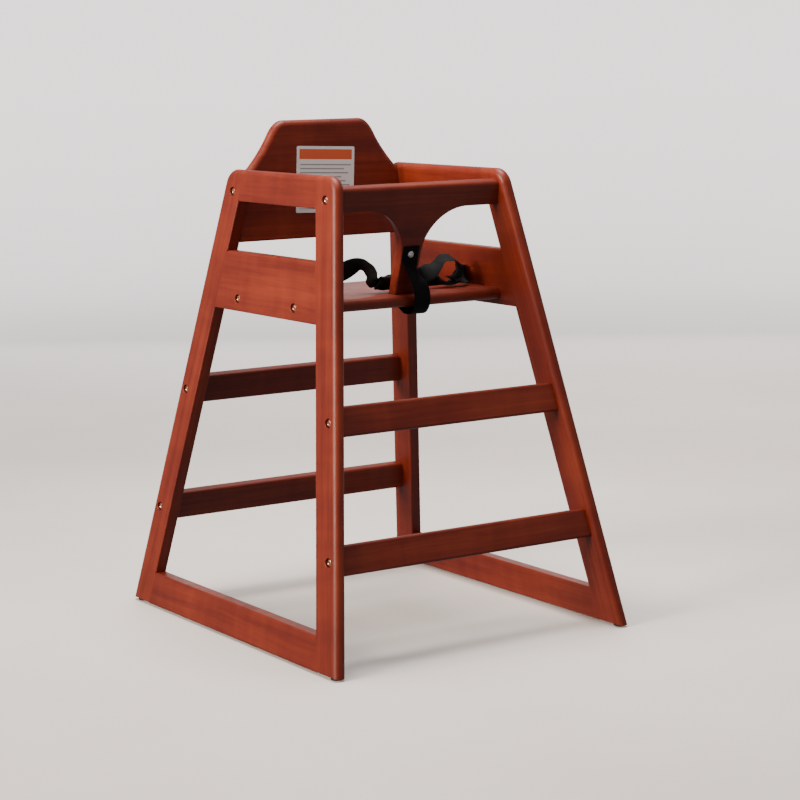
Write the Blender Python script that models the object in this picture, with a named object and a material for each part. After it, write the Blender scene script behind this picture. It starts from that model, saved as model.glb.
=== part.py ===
"""Wooden stacking high chair for cafes, with a three-strap harness.

Metres, +Z up.  The front of the chair faces -Y and the sitter's right hand is
on the -X side.  The origin lies on the floor, under the middle of the chair.
Two side frames lean towards each other.  A backrest, a front panel, a seat and
four cross bars are bolted between them, each end with a cap bolt that screws
into a cross dowel sunk in the board.
"""

import math

import bmesh
import bpy
from mathutils import Matrix, Vector

# Overall sizes.
FLOOR_WIDTH = 0.519
FLOOR_DEPTH = 0.6073
ARM_HEIGHT = 0.683
CREST_HEIGHT = 0.753
LEAN = math.radians(8.9)
RAKE = 0.2185
GAP = 0.0003

# Side frames.  Heights are those of the boards' outer faces.
FRAME_THICKNESS = 0.0184
LEG_WIDTH = 0.0528
ARM_CORNER_RADIUS = 0.026
ARM_RAIL_UNDERSIDE = 0.635
SIDE_PANEL_TOP = 0.561
SIDE_PANEL_UNDERSIDE = 0.474
BOTTOM_RAIL_TOP = 0.053
GLIDE_HEIGHT = 0.003
GLIDE_RADIUS = 0.0070
GLIDE_INSET = 0.016

# Edge roundings.
ROUND = 0.0088
EASED = 0.0020
RIM_END = 0.0005
FOOT_EASED = 0.0030
SOFT_EASED = 0.0040

# Seat.
SEAT_TOP = 0.501
SEAT_THICKNESS = 0.018
SEAT_HALF_DEPTH = 0.112

# Backrest, upright behind the seat.
BACKREST_Y = 0.1315
BACKREST_THICKNESS = 0.0184
BACKREST_UNDERSIDE = 0.572
BACKREST_SHOULDER = 0.6785
BACKREST_WAIST = (0.0967, 0.7282)
BACKREST_CREST_HALF = 0.068

# Front panel, a T whose stem slopes back down to the seat.
PANEL_TILT = math.radians(17.0)
PANEL_THICKNESS = 0.0180
PANEL_BOLT_Y = -0.1330
PANEL_BOLT_Z = 0.648
PANEL_BAR_ABOVE = 0.0186
PANEL_BAR_BELOW = 0.0179
STEM_HALF_WIDTH = 0.0172
STEM_ARCH_RADIUS = 0.0706

# Cross bars between the legs.
BAR_HEIGHT = 0.0434
BAR_THICKNESS = 0.0178
BAR_INSET = 0.0200
BAR_LEVELS = {"lower": 0.1555, "upper": 0.3430}

# Bolts and cross dowels.
HEAD_RADIUS = 0.0052
HEAD_HEIGHT = 0.0060
HEAD_RECESS = 0.0020
SHANK_RADIUS = 0.0030
SHANK_LENGTH = 0.0500
SOCKET_APOTHEM = 0.0021
SOCKET_DEPTH = 0.0035
COUNTERBORE_RADIUS = 0.0070
BOLT_HOLE_RADIUS = 0.0034
BOLT_HOLE_DEPTH = 0.0420
DOWEL_RADIUS = 0.0050
DOWEL_LENGTH = 0.0124
DOWEL_INSET = 0.0300
DOWEL_BORE_RADIUS = 0.0053
DOWEL_BORE_PAST_BOLT = 0.0067
SEAT_BOLT_Y = 0.0807
SEAT_BOLT_Z = SEAT_TOP - SEAT_THICKNESS / 2
BACKREST_BOLT_Z = 0.649

# Harness.
WEB_WIDTH = 0.0280
WEB_THICKNESS = 0.0016
BELT_Y = -0.0620
BUCKLE_WIDTH = 0.0320
BUCKLE_THICKNESS = 0.0110
BUCKLE_LEAN = math.radians(-50.0)
BUCKLE_Z = SEAT_TOP + 0.0152
SOCKET_BACK_X = -0.0240
MOUTH_X = 0.0155
SOCKET_CHANNEL_DEPTH = 0.0240
CHANNEL_HALF_WIDTH = 0.0130
CHANNEL_HALF_THICKNESS = 0.0034
PLUG_END_X = 0.0325
STRAP_SLOT = 0.0036

SIDES = {"right": -1, "left": 1}
ENDS = {"front": -1, "rear": 1}
FRAME_ACROSS = FRAME_THICKNESS / math.cos(LEAN)
SLANT = 1 / math.cos(LEAN)


# ---------------------------------------------------------------- materials


def make_material(name, color, roughness, metallic=0.0):
    material = bpy.data.materials.new(name)
    material.use_nodes = True
    shader = material.node_tree.nodes["Principled BSDF"]
    shader.inputs["Base Color"].default_value = (*color, 1.0)
    shader.inputs["Roughness"].default_value = roughness
    shader.inputs["Metallic"].default_value = metallic
    return material


def make_materials():
    return {
        "wood": make_material("cherry_lacquer", (0.36, 0.075, 0.040), 0.32),
        "bolt": make_material("bronzed_steel", (0.62, 0.36, 0.22), 0.30, 1.0),
        "dowel": make_material("zinc_steel", (0.60, 0.60, 0.60), 0.35, 1.0),
        "glide": make_material("black_rubber", (0.015, 0.015, 0.015), 0.7),
        "webbing": make_material("black_webbing", (0.012, 0.012, 0.012), 0.8),
        "plastic": make_material("black_plastic", (0.010, 0.010, 0.010), 0.4),
        "screw": make_material("nickel_screw", (0.78, 0.78, 0.76), 0.22, 1.0),
        "sticker": make_material("plain_sticker", (0.80, 0.79, 0.76), 0.5),
    }


# ------------------------------------------------------------ basic shapes


def add_object(name, mesh, material=None):
    part = bpy.data.objects.new(name, mesh)
    bpy.context.scene.collection.objects.link(part)
    if material and not mesh.materials:
        mesh.materials.append(material)
    return part


def close_up(mesh):
    """Turn every face outwards and shade the smooth ones."""
    work = bmesh.new()
    work.from_mesh(mesh)
    bmesh.ops.recalc_face_normals(work, faces=work.faces)
    work.to_mesh(mesh)
    work.free()
    mesh.shade_smooth()
    mesh.set_sharp_from_angle(angle=math.radians(35))


def prism(name, near_cap, far_cap, radii, material, segments=4):
    """A board between two matching outlines, its rims rounded edge by edge."""
    count = len(near_cap)
    faces = [tuple(range(count)), tuple(range(count, 2 * count))]
    for i in range(count):
        j = (i + 1) % count
        faces.append((i, j, j + count, i + count))
    mesh = bpy.data.meshes.new(name)
    mesh.from_pydata([tuple(p) for p in near_cap + far_cap], [], faces)
    close_up(mesh)
    rim_radius = {}
    for i, radius in enumerate(radii):
        j = (i + 1) % count
        rim_radius[frozenset((i, j))] = radius
        rim_radius[frozenset((i + count, j + count))] = radius
    weights = mesh.attributes.new("bevel_weight_edge", "FLOAT", "EDGE")
    for edge in mesh.edges:
        radius = rim_radius.get(frozenset(edge.vertices), 0.0)
        weights.data[edge.index].value = radius / ROUND
    board = add_object(name, mesh, material)
    bevel = board.modifiers.new("rounded_rims", "BEVEL")
    bevel.limit_method = "WEIGHT"
    bevel.width = ROUND
    bevel.segments = segments
    bevel.use_clamp_overlap = False
    return board


def ring(work, along, radius, sides, hexagonal):
    """One ring round the X axis, a circle or a hexagon of that apothem."""
    verts = []
    for i in range(sides):
        angle = 2 * math.pi * i / sides
        reach = radius
        if hexagonal:
            reach = radius / math.cos((angle % (math.pi / 3)) - math.pi / 6)
        verts.append(work.verts.new((along, reach * math.cos(angle), reach * math.sin(angle))))
    return verts


def turned_mesh(name, profile, sides=24):
    """A turned piece along X from (along, radius) or (along, radius, "hex")."""
    work = bmesh.new()
    rings = [ring(work, step[0], step[1], sides, len(step) > 2) for step in profile]
    for first, second in zip(rings, rings[1:]):
        for i in range(sides):
            j = (i + 1) % sides
            work.faces.new((first[i], first[j], second[j], second[i]))
    work.faces.new(rings[0])
    work.faces.new(rings[-1])
    mesh = bpy.data.meshes.new(name)
    work.to_mesh(mesh)
    work.free()
    close_up(mesh)
    return mesh


def box_mesh(name, low, high):
    work = bmesh.new()
    bmesh.ops.create_cube(work, size=1.0)
    for vert in work.verts:
        for axis in range(3):
            vert.co[axis] = high[axis] if vert.co[axis] > 0 else low[axis]
    mesh = bpy.data.meshes.new(name)
    work.to_mesh(mesh)
    work.free()
    return mesh


def cutter(name, mesh, matrix):
    tool = add_object(name, mesh)
    tool.matrix_world = matrix
    tool.hide_render = True
    tool.display_type = "WIRE"
    return tool


def cut(part, tool):
    boolean = part.modifiers.new(tool.name, "BOOLEAN")
    boolean.operation = "DIFFERENCE"
    boolean.object = tool


def along_axis(point, direction):
    """Places a piece made along +X so that it runs from point in direction."""
    turn = Vector((1, 0, 0)).rotation_difference(Vector(direction))
    return Matrix.Translation(Vector(point)) @ turn.to_matrix().to_4x4()


def bezier(start, start_pull, end_pull, end, steps):
    """Points along a cubic curve, without its first point."""
    points = []
    for i in range(1, steps + 1):
        t = i / steps
        u = 1 - t
        factors = (u**3, 3 * u * u * t, 3 * u * t * t, t**3)
        controls = (start, start_pull, end_pull, end)
        points.append(tuple(sum(f * c[k] for f, c in zip(factors, controls)) for k in range(2)))
    return points


def fillet(before, corner, after, radius, steps):
    """An arc of that radius in place of a corner between two straight edges."""
    corner = Vector(corner)
    back = (Vector(before) - corner).normalized()
    ahead = (Vector(after) - corner).normalized()
    half = back.angle(ahead) / 2
    centre = corner + (back + ahead).normalized() * radius / math.sin(half)
    start = corner + back * radius / math.tan(half) - centre
    end = corner + ahead * radius / math.tan(half) - centre
    sweep = start.angle_signed(end)
    return [tuple(centre + start @ Matrix.Rotation(sweep * i / steps, 2)) for i in range(steps + 1)]


# -------------------------------------------------------------- side frames


def outer_x(z):
    """Half width over the outer faces of the side frames at height z."""
    return FLOOR_WIDTH / 2 - z * math.tan(LEAN)


def inner_x(z):
    """Half width that a board between the side frames may fill at height z."""
    return outer_x(z) - FRAME_ACROSS - GAP * SLANT


def frame_point(side, y, rise, depth):
    """A point of a side frame: rise runs up its face, depth goes inwards."""
    x = FLOOR_WIDTH / 2 - rise * math.sin(LEAN) - depth * math.cos(LEAN)
    z = rise * math.cos(LEAN) - depth * math.sin(LEAN)
    return (side * x, y, z)


def leg_edge(rise):
    """Distance of a leg's outer edge from the middle of the chair."""
    return FLOOR_DEPTH / 2 - RAKE * rise


def leg_back(rise):
    return leg_edge(rise) - LEG_WIDTH


def level_rise(height, depth):
    """How far up the frame's face a level cut lies, at a given depth."""
    return (height + depth * math.sin(LEAN)) * SLANT


def leg_outline(depth):
    """(y, rise, rim radius to the next point) round one leg, rear end up +Y."""
    foot = level_rise(GLIDE_HEIGHT, depth)
    top = ARM_HEIGHT * SLANT
    corner = (leg_edge(top), top)
    arc = fillet((leg_edge(0), 0), corner, (0, top), ARM_CORNER_RADIUS, 7)
    outline = [(leg_back(foot), foot, FOOT_EASED), (leg_edge(foot), foot, ROUND)]
    outline += [(y, rise, ROUND) for y, rise in arc]
    outline.append((leg_back(top), top, 0.0))
    stations = (
        (ARM_RAIL_UNDERSIDE + RIM_END, 0.0),
        (ARM_RAIL_UNDERSIDE, EASED),
        (SIDE_PANEL_TOP, 0.0),
        (SIDE_PANEL_TOP - RIM_END, 0.0),
        (SIDE_PANEL_UNDERSIDE + RIM_END, 0.0),
        (SIDE_PANEL_UNDERSIDE, EASED),
        (BOTTOM_RAIL_TOP, 0.0),
        (BOTTOM_RAIL_TOP - RIM_END, 0.0),
    )
    for height, radius in stations:
        rise = level_rise(height, depth)
        outline.append((leg_back(rise), rise, radius))
    return outline


def add_leg(name, side, end, material):
    caps = []
    for depth in (0.0, FRAME_THICKNESS):
        outline = leg_outline(depth)
        caps.append([frame_point(side, end * y, rise, depth) for y, rise, _ in outline])
    radii = [radius for _, _, radius in leg_outline(0.0)]
    return prism(name, caps[0], caps[1], radii, material)


def add_rail(name, side, low, high, radii, material):
    """A board between the two legs of one side frame, its edges cut level."""
    caps = []
    for depth in (0.0, FRAME_THICKNESS):
        bottom = level_rise(low, depth)
        top = ARM_HEIGHT * SLANT if high == ARM_HEIGHT else level_rise(high, depth)
        reach = [leg_back(rise) - GAP for rise in (bottom, top)]
        outline = ((-reach[0], bottom), (reach[0], bottom), (reach[1], top), (-reach[1], top))
        caps.append([frame_point(side, y, rise, depth) for y, rise in outline])
    return prism(name, caps[0], caps[1], radii, material)


def add_side_frame(word, side, material):
    boards = {}
    for end_word, end in ENDS.items():
        boards[end_word] = add_leg(f"{word}_{end_word}_leg", side, end, material)
    add_rail(f"{word}_arm_rail", side, ARM_RAIL_UNDERSIDE, ARM_HEIGHT, (EASED, 0, ROUND, 0), material)
    boards["panel"] = add_rail(
        f"{word}_side_panel", side, SIDE_PANEL_UNDERSIDE, SIDE_PANEL_TOP, (EASED, 0, EASED, 0), material
    )
    add_rail(f"{word}_bottom_rail", side, GLIDE_HEIGHT, BOTTOM_RAIL_TOP, (FOOT_EASED, 0, EASED, 0), material)
    return boards


def add_glides(materials):
    radius = GLIDE_RADIUS
    height = GLIDE_HEIGHT - GAP
    profile = ((0, radius - 0.0006), (0.0006, radius), (height, radius))
    mesh = turned_mesh("glide", profile, 20)
    mesh.materials.append(materials["glide"])
    middle = outer_x(GLIDE_HEIGHT) - FRAME_ACROSS / 2
    for word, side in SIDES.items():
        for end_word, end in ENDS.items():
            place = (side * middle, end * (FLOOR_DEPTH / 2 - GLIDE_INSET), 0)
            glide = add_object(f"{word}_{end_word}_glide", mesh)
            glide.matrix_world = along_axis(place, (0, 0, 1))


# ----------------------------------------------- boards between the frames


def add_seat(material):
    caps = []
    for z in (SEAT_TOP - SEAT_THICKNESS, SEAT_TOP):
        x = inner_x(z)
        y = SEAT_HALF_DEPTH
        caps.append([(-x, -y, z), (x, -y, z), (x, y, z), (-x, y, z)])
    return prism("seat", caps[0], caps[1], (0.008, 0, 0.008, 0), material)


def backrest_side():
    """(x, z, rim radius) up the +X half of the backrest."""
    low = (None, BACKREST_UNDERSIDE, 0.0)
    shoulder = (inner_x(BACKREST_SHOULDER), BACKREST_SHOULDER)
    waist = BACKREST_WAIST
    crest = (BACKREST_CREST_HALF, CREST_HEIGHT)
    flare = bezier(
        shoulder,
        (shoulder[0] - 0.014, shoulder[1] + 0.014),
        (waist[0] + 0.0080, waist[1] - 0.0150),
        waist,
        7,
    )
    corner = bezier(
        waist,
        (waist[0] - 0.0065, waist[1] + 0.0125),
        (crest[0] + 0.0130, crest[1]),
        crest,
        7,
    )
    return [low, (None, BACKREST_SHOULDER, ROUND)] + [(x, z, ROUND) for x, z in flare + corner]


def add_backrest(material):
    side = backrest_side()
    radii = [radius for _, _, radius in side]
    radii += radii[::-1][1:] + [EASED]
    caps = []
    for offset in (-BACKREST_THICKNESS / 2, BACKREST_THICKNESS / 2):
        half = [(inner_x(z) if x is None else x, z) for x, z, _ in side]
        outline = half + [(-x, z) for x, z in reversed(half)]
        caps.append([(x, BACKREST_Y + offset, z) for x, z in outline])
    return prism("backrest", caps[0], caps[1], radii, material)


def panel_point(x, rise, depth):
    """A point of the front panel: rise runs up it, depth goes to the rear."""
    y = PANEL_BOLT_Y - rise * math.sin(PANEL_TILT) + depth * math.cos(PANEL_TILT)
    z = PANEL_BOLT_Z + rise * math.cos(PANEL_TILT) + depth * math.sin(PANEL_TILT)
    return (x, y, z)


def panel_side(depth):
    """(x, rise, rim radius) up the +X half of the front panel."""
    foot = (SEAT_TOP + GAP - PANEL_BOLT_Z - depth * math.sin(PANEL_TILT)) / math.cos(PANEL_TILT)
    radius = STEM_ARCH_RADIUS
    centre = (STEM_HALF_WIDTH + radius, -PANEL_BAR_BELOW - radius)
    steps = 9
    side = [(STEM_HALF_WIDTH, foot, EASED)]
    for i in range(steps + 1):
        angle = math.pi - i * math.pi / 2 / steps
        x = centre[0] + radius * math.cos(angle)
        rise = centre[1] + radius * math.sin(angle)
        side.append((x, rise, EASED))
    for rise, rim in ((-PANEL_BAR_BELOW, 0.0), (PANEL_BAR_ABOVE, 0.0064)):
        end = inner_x(panel_point(0, rise, depth)[2])
        side.append((end, rise, rim))
    return side


def add_front_panel(material):
    caps = []
    for depth in (-PANEL_THICKNESS / 2, PANEL_THICKNESS / 2):
        half = panel_side(depth)
        outline = half + [(-x, rise, 0) for x, rise, _ in reversed(half)]
        caps.append([panel_point(x, rise, depth) for x, rise, _ in outline])
    radii = [radius for _, _, radius in panel_side(0.0)]
    radii += radii[::-1][1:] + [0.0]
    return prism("front_panel", caps[0], caps[1], radii, material)


def bar_axes(end):
    """Up and rearward directions of a cross bar that follows its legs' rake."""
    rake = math.atan(RAKE * SLANT)
    up = Vector((0, -end * math.sin(rake), math.cos(rake)))
    rear = Vector((0, math.cos(rake), end * math.sin(rake)))
    return up, rear


def bar_centre(end, level):
    return Vector((0, end * (leg_edge(level * SLANT) - BAR_INSET), level))


def add_bar(name, end, level, material):
    up, rear = bar_axes(end)
    centre = bar_centre(end, level)
    caps = []
    for side in SIDES.values():
        cap = []
        for along_up, along_rear in ((-1, -1), (1, -1), (1, 1), (-1, 1)):
            point = centre + up * along_up * BAR_HEIGHT / 2 + rear * along_rear * BAR_THICKNESS / 2
            cap.append((side * inner_x(point.z), point.y, point.z))
        caps.append(cap)
    bar = prism(name, caps[0], caps[1], (0, 0, 0, 0), material)
    weights = bar.data.attributes["bevel_weight_edge"]
    for edge in bar.data.edges:
        first, second = (bar.data.vertices[i].co for i in edge.vertices)
        if first.x * second.x < 0:
            weights.data[edge.index].value = SOFT_EASED / ROUND
    return bar


# ------------------------------------------------------- bolts and dowels


def bolt_mesh(material):
    """A cap bolt along +X, its head's face at x = 0."""
    head = HEAD_RADIUS
    tip = HEAD_HEIGHT + SHANK_LENGTH
    profile = (
        (SOCKET_DEPTH, SOCKET_APOTHEM, "hex"),
        (0.0002, SOCKET_APOTHEM, "hex"),
        (0.0, SOCKET_APOTHEM + 0.0007),
        (0.0, head - 0.0007),
        (0.0007, head),
        (HEAD_HEIGHT, head),
        (HEAD_HEIGHT, SHANK_RADIUS),
        (tip - 0.0010, SHANK_RADIUS),
        (tip, SHANK_RADIUS - 0.0010),
    )
    mesh = turned_mesh("cap_bolt", profile, 18)
    mesh.materials.append(material)
    return mesh


def dowel_mesh(material):
    """A cross dowel along X, with a bolt hole across it and a slotted end."""
    half = DOWEL_LENGTH / 2
    chamfer = 0.0005
    edge = DOWEL_RADIUS - chamfer
    profile = ((-half, edge), (chamfer - half, DOWEL_RADIUS), (half - chamfer, DOWEL_RADIUS), (half, edge))
    dowel = add_object("cross_dowel_blank", turned_mesh("cross_dowel_blank", profile, 16))
    hole = turned_mesh("dowel_hole", ((-0.01, SHANK_RADIUS + GAP), (0.01, SHANK_RADIUS + GAP)), 18)
    slot = box_mesh("dowel_slot", (half - 0.0012, -0.0006, -0.0060), (half + 0.0010, 0.0006, 0.0060))
    tools = [
        cutter("dowel_hole", hole, along_axis((0, 0, 0), (0, 0, 1))),
        cutter("dowel_slot", slot, Matrix.Identity(4)),
    ]
    for tool in tools:
        cut(dowel, tool)
    finished = bpy.data.meshes.new_from_object(dowel.evaluated_get(bpy.context.evaluated_depsgraph_get()))
    for scrap in [dowel] + tools:
        bpy.data.objects.remove(scrap)
    finished.name = "cross_dowel"
    finished.materials.clear()
    finished.materials.append(material)
    return finished


def bolt_hole_mesh():
    """Counterbore, clearance hole and blind bolt hole in one cutter along +X."""
    seat = HEAD_RECESS + HEAD_HEIGHT + GAP
    end = FRAME_ACROSS + BOLT_HOLE_DEPTH
    profile = (
        (-0.01, COUNTERBORE_RADIUS),
        (seat, COUNTERBORE_RADIUS),
        (seat, BOLT_HOLE_RADIUS),
        (end, BOLT_HOLE_RADIUS),
    )
    return turned_mesh("bolt_hole", profile, 18)


def dowel_axis(up):
    """Rotation that lays a dowel, made along X, along up with its hole on X."""
    up = Vector(up).normalized()
    across = Vector((1, 0, 0))
    third = up.cross(across)
    return Matrix((up, third, across)).transposed().to_4x4()


def joint_table(frames, boards):
    """(name, frame board, cross board, y, z, direction that the dowel faces)."""
    table = []
    for word, side in SIDES.items():
        side_frame = frames[word]
        for end_word, end in ENDS.items():
            leg = side_frame[end_word]
            for level_word, level in BAR_LEVELS.items():
                name = f"{word}_{end_word}_{level_word}_bar"
                bar = boards[f"{end_word}_{level_word}_bar"]
                centre = bar_centre(end, level)
                table.append((name, side, leg, bar, centre.y, centre.z, bar_axes(end)[1]))
            name = f"{word}_{end_word}_seat"
            panel = side_frame["panel"]
            table.append((name, side, panel, boards["seat"], end * SEAT_BOLT_Y, SEAT_BOLT_Z, (0, 0, -1)))
        name = f"{word}_front_panel"
        facing = (0, math.cos(PANEL_TILT), math.sin(PANEL_TILT))
        panel = boards["front_panel"]
        table.append((name, side, side_frame["front"], panel, PANEL_BOLT_Y, PANEL_BOLT_Z, facing))
        name = f"{word}_backrest"
        board = boards["backrest"]
        table.append((name, side, side_frame["rear"], board, BACKREST_Y, BACKREST_BOLT_Z, (0, 1, 0)))
    return table


def add_fasteners(frames, boards, materials):
    bolt = bolt_mesh(materials["bolt"])
    dowel = dowel_mesh(materials["dowel"])
    hole = bolt_hole_mesh()
    bore_profile = ((-DOWEL_BORE_PAST_BOLT, DOWEL_BORE_RADIUS), (0.02, DOWEL_BORE_RADIUS))
    bore = turned_mesh("dowel_bore", bore_profile, 18)
    for name, side, frame_board, cross_board, y, z, facing in joint_table(frames, boards):
        inwards = (-side, 0, 0)
        face = Vector((side * outer_x(z), y, z))
        hole_tool = cutter(f"{name}_hole", hole, along_axis(face, inwards))
        cut(frame_board, hole_tool)
        cut(cross_board, hole_tool)
        head = face - Vector((side * HEAD_RECESS, 0, 0))
        add_object(f"{name}_bolt", bolt).matrix_world = along_axis(head, inwards)
        middle = face - Vector((side * (FRAME_ACROSS + DOWEL_INSET), 0, 0))
        place = Matrix.Translation(middle) @ dowel_axis(facing)
        add_object(f"{name}_dowel", dowel).matrix_world = place
        cut(cross_board, cutter(f"{name}_bore", bore, place))


# ----------------------------------------------------------------- harness


def smooth_path(points, steps):
    """Catmull-Rom curve through rows of numbers."""
    padded = [points[0]] + list(points) + [points[-1]]
    path = []
    for i in range(len(points) - 1):
        p0, p1, p2, p3 = padded[i : i + 4]
        for j in range(steps):
            t = j / steps
            row = []
            for a, b, c, d in zip(p0, p1, p2, p3):
                curve = (2 * a - 5 * b + 4 * c - d) * t * t + (3 * b - a - 3 * c + d) * t**3
                row.append(0.5 * (2 * b + (c - a) * t + curve))
            path.append(tuple(row))
    path.append(tuple(points[-1]))
    return path


def ribbon(name, points, material, steps=4):
    """Flat webbing through points, each with the direction of its width."""
    path = smooth_path([(*place, *width) for place, width in points], steps)
    work = bmesh.new()
    loops = []
    for i, row in enumerate(path):
        here = Vector(row[:3])
        before = Vector(path[max(i - 1, 0)][:3])
        after = Vector(path[min(i + 1, len(path) - 1)][:3])
        ahead = (after - before).normalized()
        width = Vector(row[3:])
        width -= ahead * ahead.dot(width)
        width.normalize()
        face = ahead.cross(width).normalized()
        loop = []
        for across, out in ((-1, -1), (1, -1), (1, 1), (-1, 1)):
            offset = width * across * WEB_WIDTH / 2 + face * out * WEB_THICKNESS / 2
            loop.append(work.verts.new(here + offset))
        loops.append(loop)
    for first, second in zip(loops, loops[1:]):
        for i in range(4):
            j = (i + 1) % 4
            work.faces.new((first[i], first[j], second[j], second[i]))
    work.faces.new(loops[0])
    work.faces.new(loops[-1])
    mesh = bpy.data.meshes.new(name)
    work.to_mesh(mesh)
    work.free()
    close_up(mesh)
    return add_object(name, mesh, material)


def stem_front(x, z, clear):
    """A point in front of the front panel's stem, clear of its face."""
    depth = -PANEL_THICKNESS / 2 - clear
    rise = (z - PANEL_BOLT_Z - depth * math.sin(PANEL_TILT)) / math.cos(PANEL_TILT)
    return panel_point(x, rise, depth)


def add_crotch_strap(material):
    """Hangs from its screw, over the seat's front edge and back under it."""
    clear = WEB_THICKNESS / 2 + GAP
    under = SEAT_TOP - SEAT_THICKNESS - clear
    flat = (1, 0, 0)
    points = (
        (stem_front(-0.0020, 0.5730, clear), flat),
        (stem_front(-0.0018, 0.5600, clear), flat),
        (stem_front(-0.0016, 0.5540, clear), flat),
        (stem_front(-0.0015, 0.5490, clear + 0.0010), (1, 0.06, 0)),
        (stem_front(-0.0008, 0.5400, clear + 0.0064), (1, 0.40, 0)),
        ((0.0040, -0.1188, 0.5290), (1, 0.42, 0.05)),
        ((0.0082, -0.1232, 0.5180), (1, 0.18, 0.10)),
        ((0.0122, -0.1248, 0.5050), (1, 0, 0.08)),
        ((0.0132, -0.1244, 0.4910), flat),
        ((0.0130, -0.1200, 0.4800), flat),
        ((0.0122, -0.1110, 0.4730), flat),
        ((0.0118, -0.0980, 0.4730), flat),
        ((0.0118, -0.0850, under - 0.0030), flat),
        ((0.0118, -0.0720, under), flat),
        ((0.0118, -0.0520, under), flat),
    )
    return ribbon("crotch_strap", points, material)


def screw_mesh(material):
    """A pan-head screw on a cup washer, its washer's back face at x = 0."""
    profile = (
        (0.0032, 0.0006),
        (0.0030, 0.0018),
        (0.0020, 0.0030),
        (0.0016, 0.0031),
        (0.0015, 0.0042),
        (0.0004, 0.0052),
        (0.0, 0.0052),
        (0.0, 0.0017),
        (-0.0130, 0.0017),
        (-0.0160, 0.0004),
    )
    mesh = turned_mesh("strap_screw", profile, 20)
    mesh.materials.append(material)
    return mesh


def add_crotch_screw(strap, stem, material):
    """Screw through the crotch strap's top end into the stem."""
    into_wood = Vector((0, math.cos(PANEL_TILT), math.sin(PANEL_TILT)))
    seat = Vector(stem_front(-0.0022, 0.5610, WEB_THICKNESS + 2 * GAP))
    place = along_axis(seat, -into_wood)
    screw = add_object("crotch_strap_screw", screw_mesh(material))
    screw.matrix_world = place
    hole = turned_mesh("strap_screw_hole", ((-0.0170, 0.0020), (0.0010, 0.0020)), 20)
    tool = cutter("strap_screw_hole", hole, place)
    cut(strap, tool)
    cut(stem, tool)


def belt_frame():
    """Local axes of the buckle: X along the belt, Y its thickness, Z its width."""
    middle = Matrix.Translation((0, BELT_Y, BUCKLE_Z))
    return middle @ Matrix.Rotation(-BUCKLE_LEAN, 4, "X")


def extruded_outline(name, outline, half_thickness, material):
    """An outline in local X and Z, given thickness along local Y."""
    caps = [[(x, y, z) for x, z in outline] for y in (-half_thickness, half_thickness)]
    return prism(name, caps[0], caps[1], [0.0010] * len(outline), material, 2)


def add_buckle_socket(material):
    half = BUCKLE_WIDTH / 2
    waist = half - 0.0020
    outline = (
        (SOCKET_BACK_X, -waist),
        (SOCKET_BACK_X + 0.010, -half),
        (MOUTH_X, -half),
        (MOUTH_X, half),
        (SOCKET_BACK_X + 0.010, half),
        (SOCKET_BACK_X, waist),
    )
    socket = extruded_outline("buckle_socket", outline, BUCKLE_THICKNESS / 2, material)
    socket.matrix_world = belt_frame()
    channel_end = MOUTH_X - SOCKET_CHANNEL_DEPTH
    deep = CHANNEL_HALF_THICKNESS
    slot_half = WEB_WIDTH / 2 + 0.0006
    slot = SOCKET_BACK_X + 0.0030
    tools = {
        "channel": ((channel_end, -deep, -CHANNEL_HALF_WIDTH), (MOUTH_X + 0.01, deep, CHANNEL_HALF_WIDTH)),
        "windows": ((channel_end + 0.003, -0.0028, -0.03), (MOUTH_X - 0.006, 0.0028, 0.03)),
        "slot": ((slot, -0.02, -slot_half), (slot + STRAP_SLOT, 0.02, slot_half)),
    }
    for word, (low, high) in tools.items():
        name = f"buckle_socket_{word}"
        cut(socket, cutter(name, box_mesh(name, low, high), belt_frame()))
    return socket


def plug_outline():
    """Base with a strap bar, two spring arms and a middle tongue."""
    half = BUCKLE_WIDTH / 2
    arm = CHANNEL_HALF_WIDTH - GAP
    tip = MOUTH_X - SOCKET_CHANNEL_DEPTH + 0.0010
    base = MOUTH_X + GAP
    upper = (
        (PLUG_END_X, half - 0.0020),
        (PLUG_END_X - 0.004, half),
        (base, half),
        (base, arm - 0.0012),
        (tip + 0.0110, arm - 0.0012),
        (tip + 0.0090, arm),
        (tip + 0.0040, arm),
        (tip, arm - 0.0036),
        (tip + 0.0010, arm - 0.0056),
        (base, arm - 0.0052),
        (base, 0.0034),
        (tip + 0.0020, 0.0034),
        (tip + 0.0002, 0.0020),
    )
    return list(upper) + [(x, -z) for x, z in reversed(upper)]


def add_buckle_plug(material):
    """Its origin is on the line along which it slides out of the socket."""
    plug = extruded_outline("buckle_plug", plug_outline(), CHANNEL_HALF_THICKNESS - GAP, material)
    plug.matrix_world = belt_frame()
    slot_half = WEB_WIDTH / 2 + 0.0006
    for i, start in enumerate((MOUTH_X + 0.0026, MOUTH_X + 0.0098)):
        name = f"buckle_plug_slot_{i}"
        low = (start, -0.02, -slot_half)
        high = (start + STRAP_SLOT, 0.02, slot_half)
        cut(plug, cutter(name, box_mesh(name, low, high), belt_frame()))
    return plug


def belt_row(x, y):
    """A strap point at the buckle: along the belt and off its middle plane."""
    across = (0, math.sin(BUCKLE_LEAN), math.cos(BUCKLE_LEAN))
    return (tuple(belt_frame() @ Vector((x, y, 0))), across)


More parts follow.
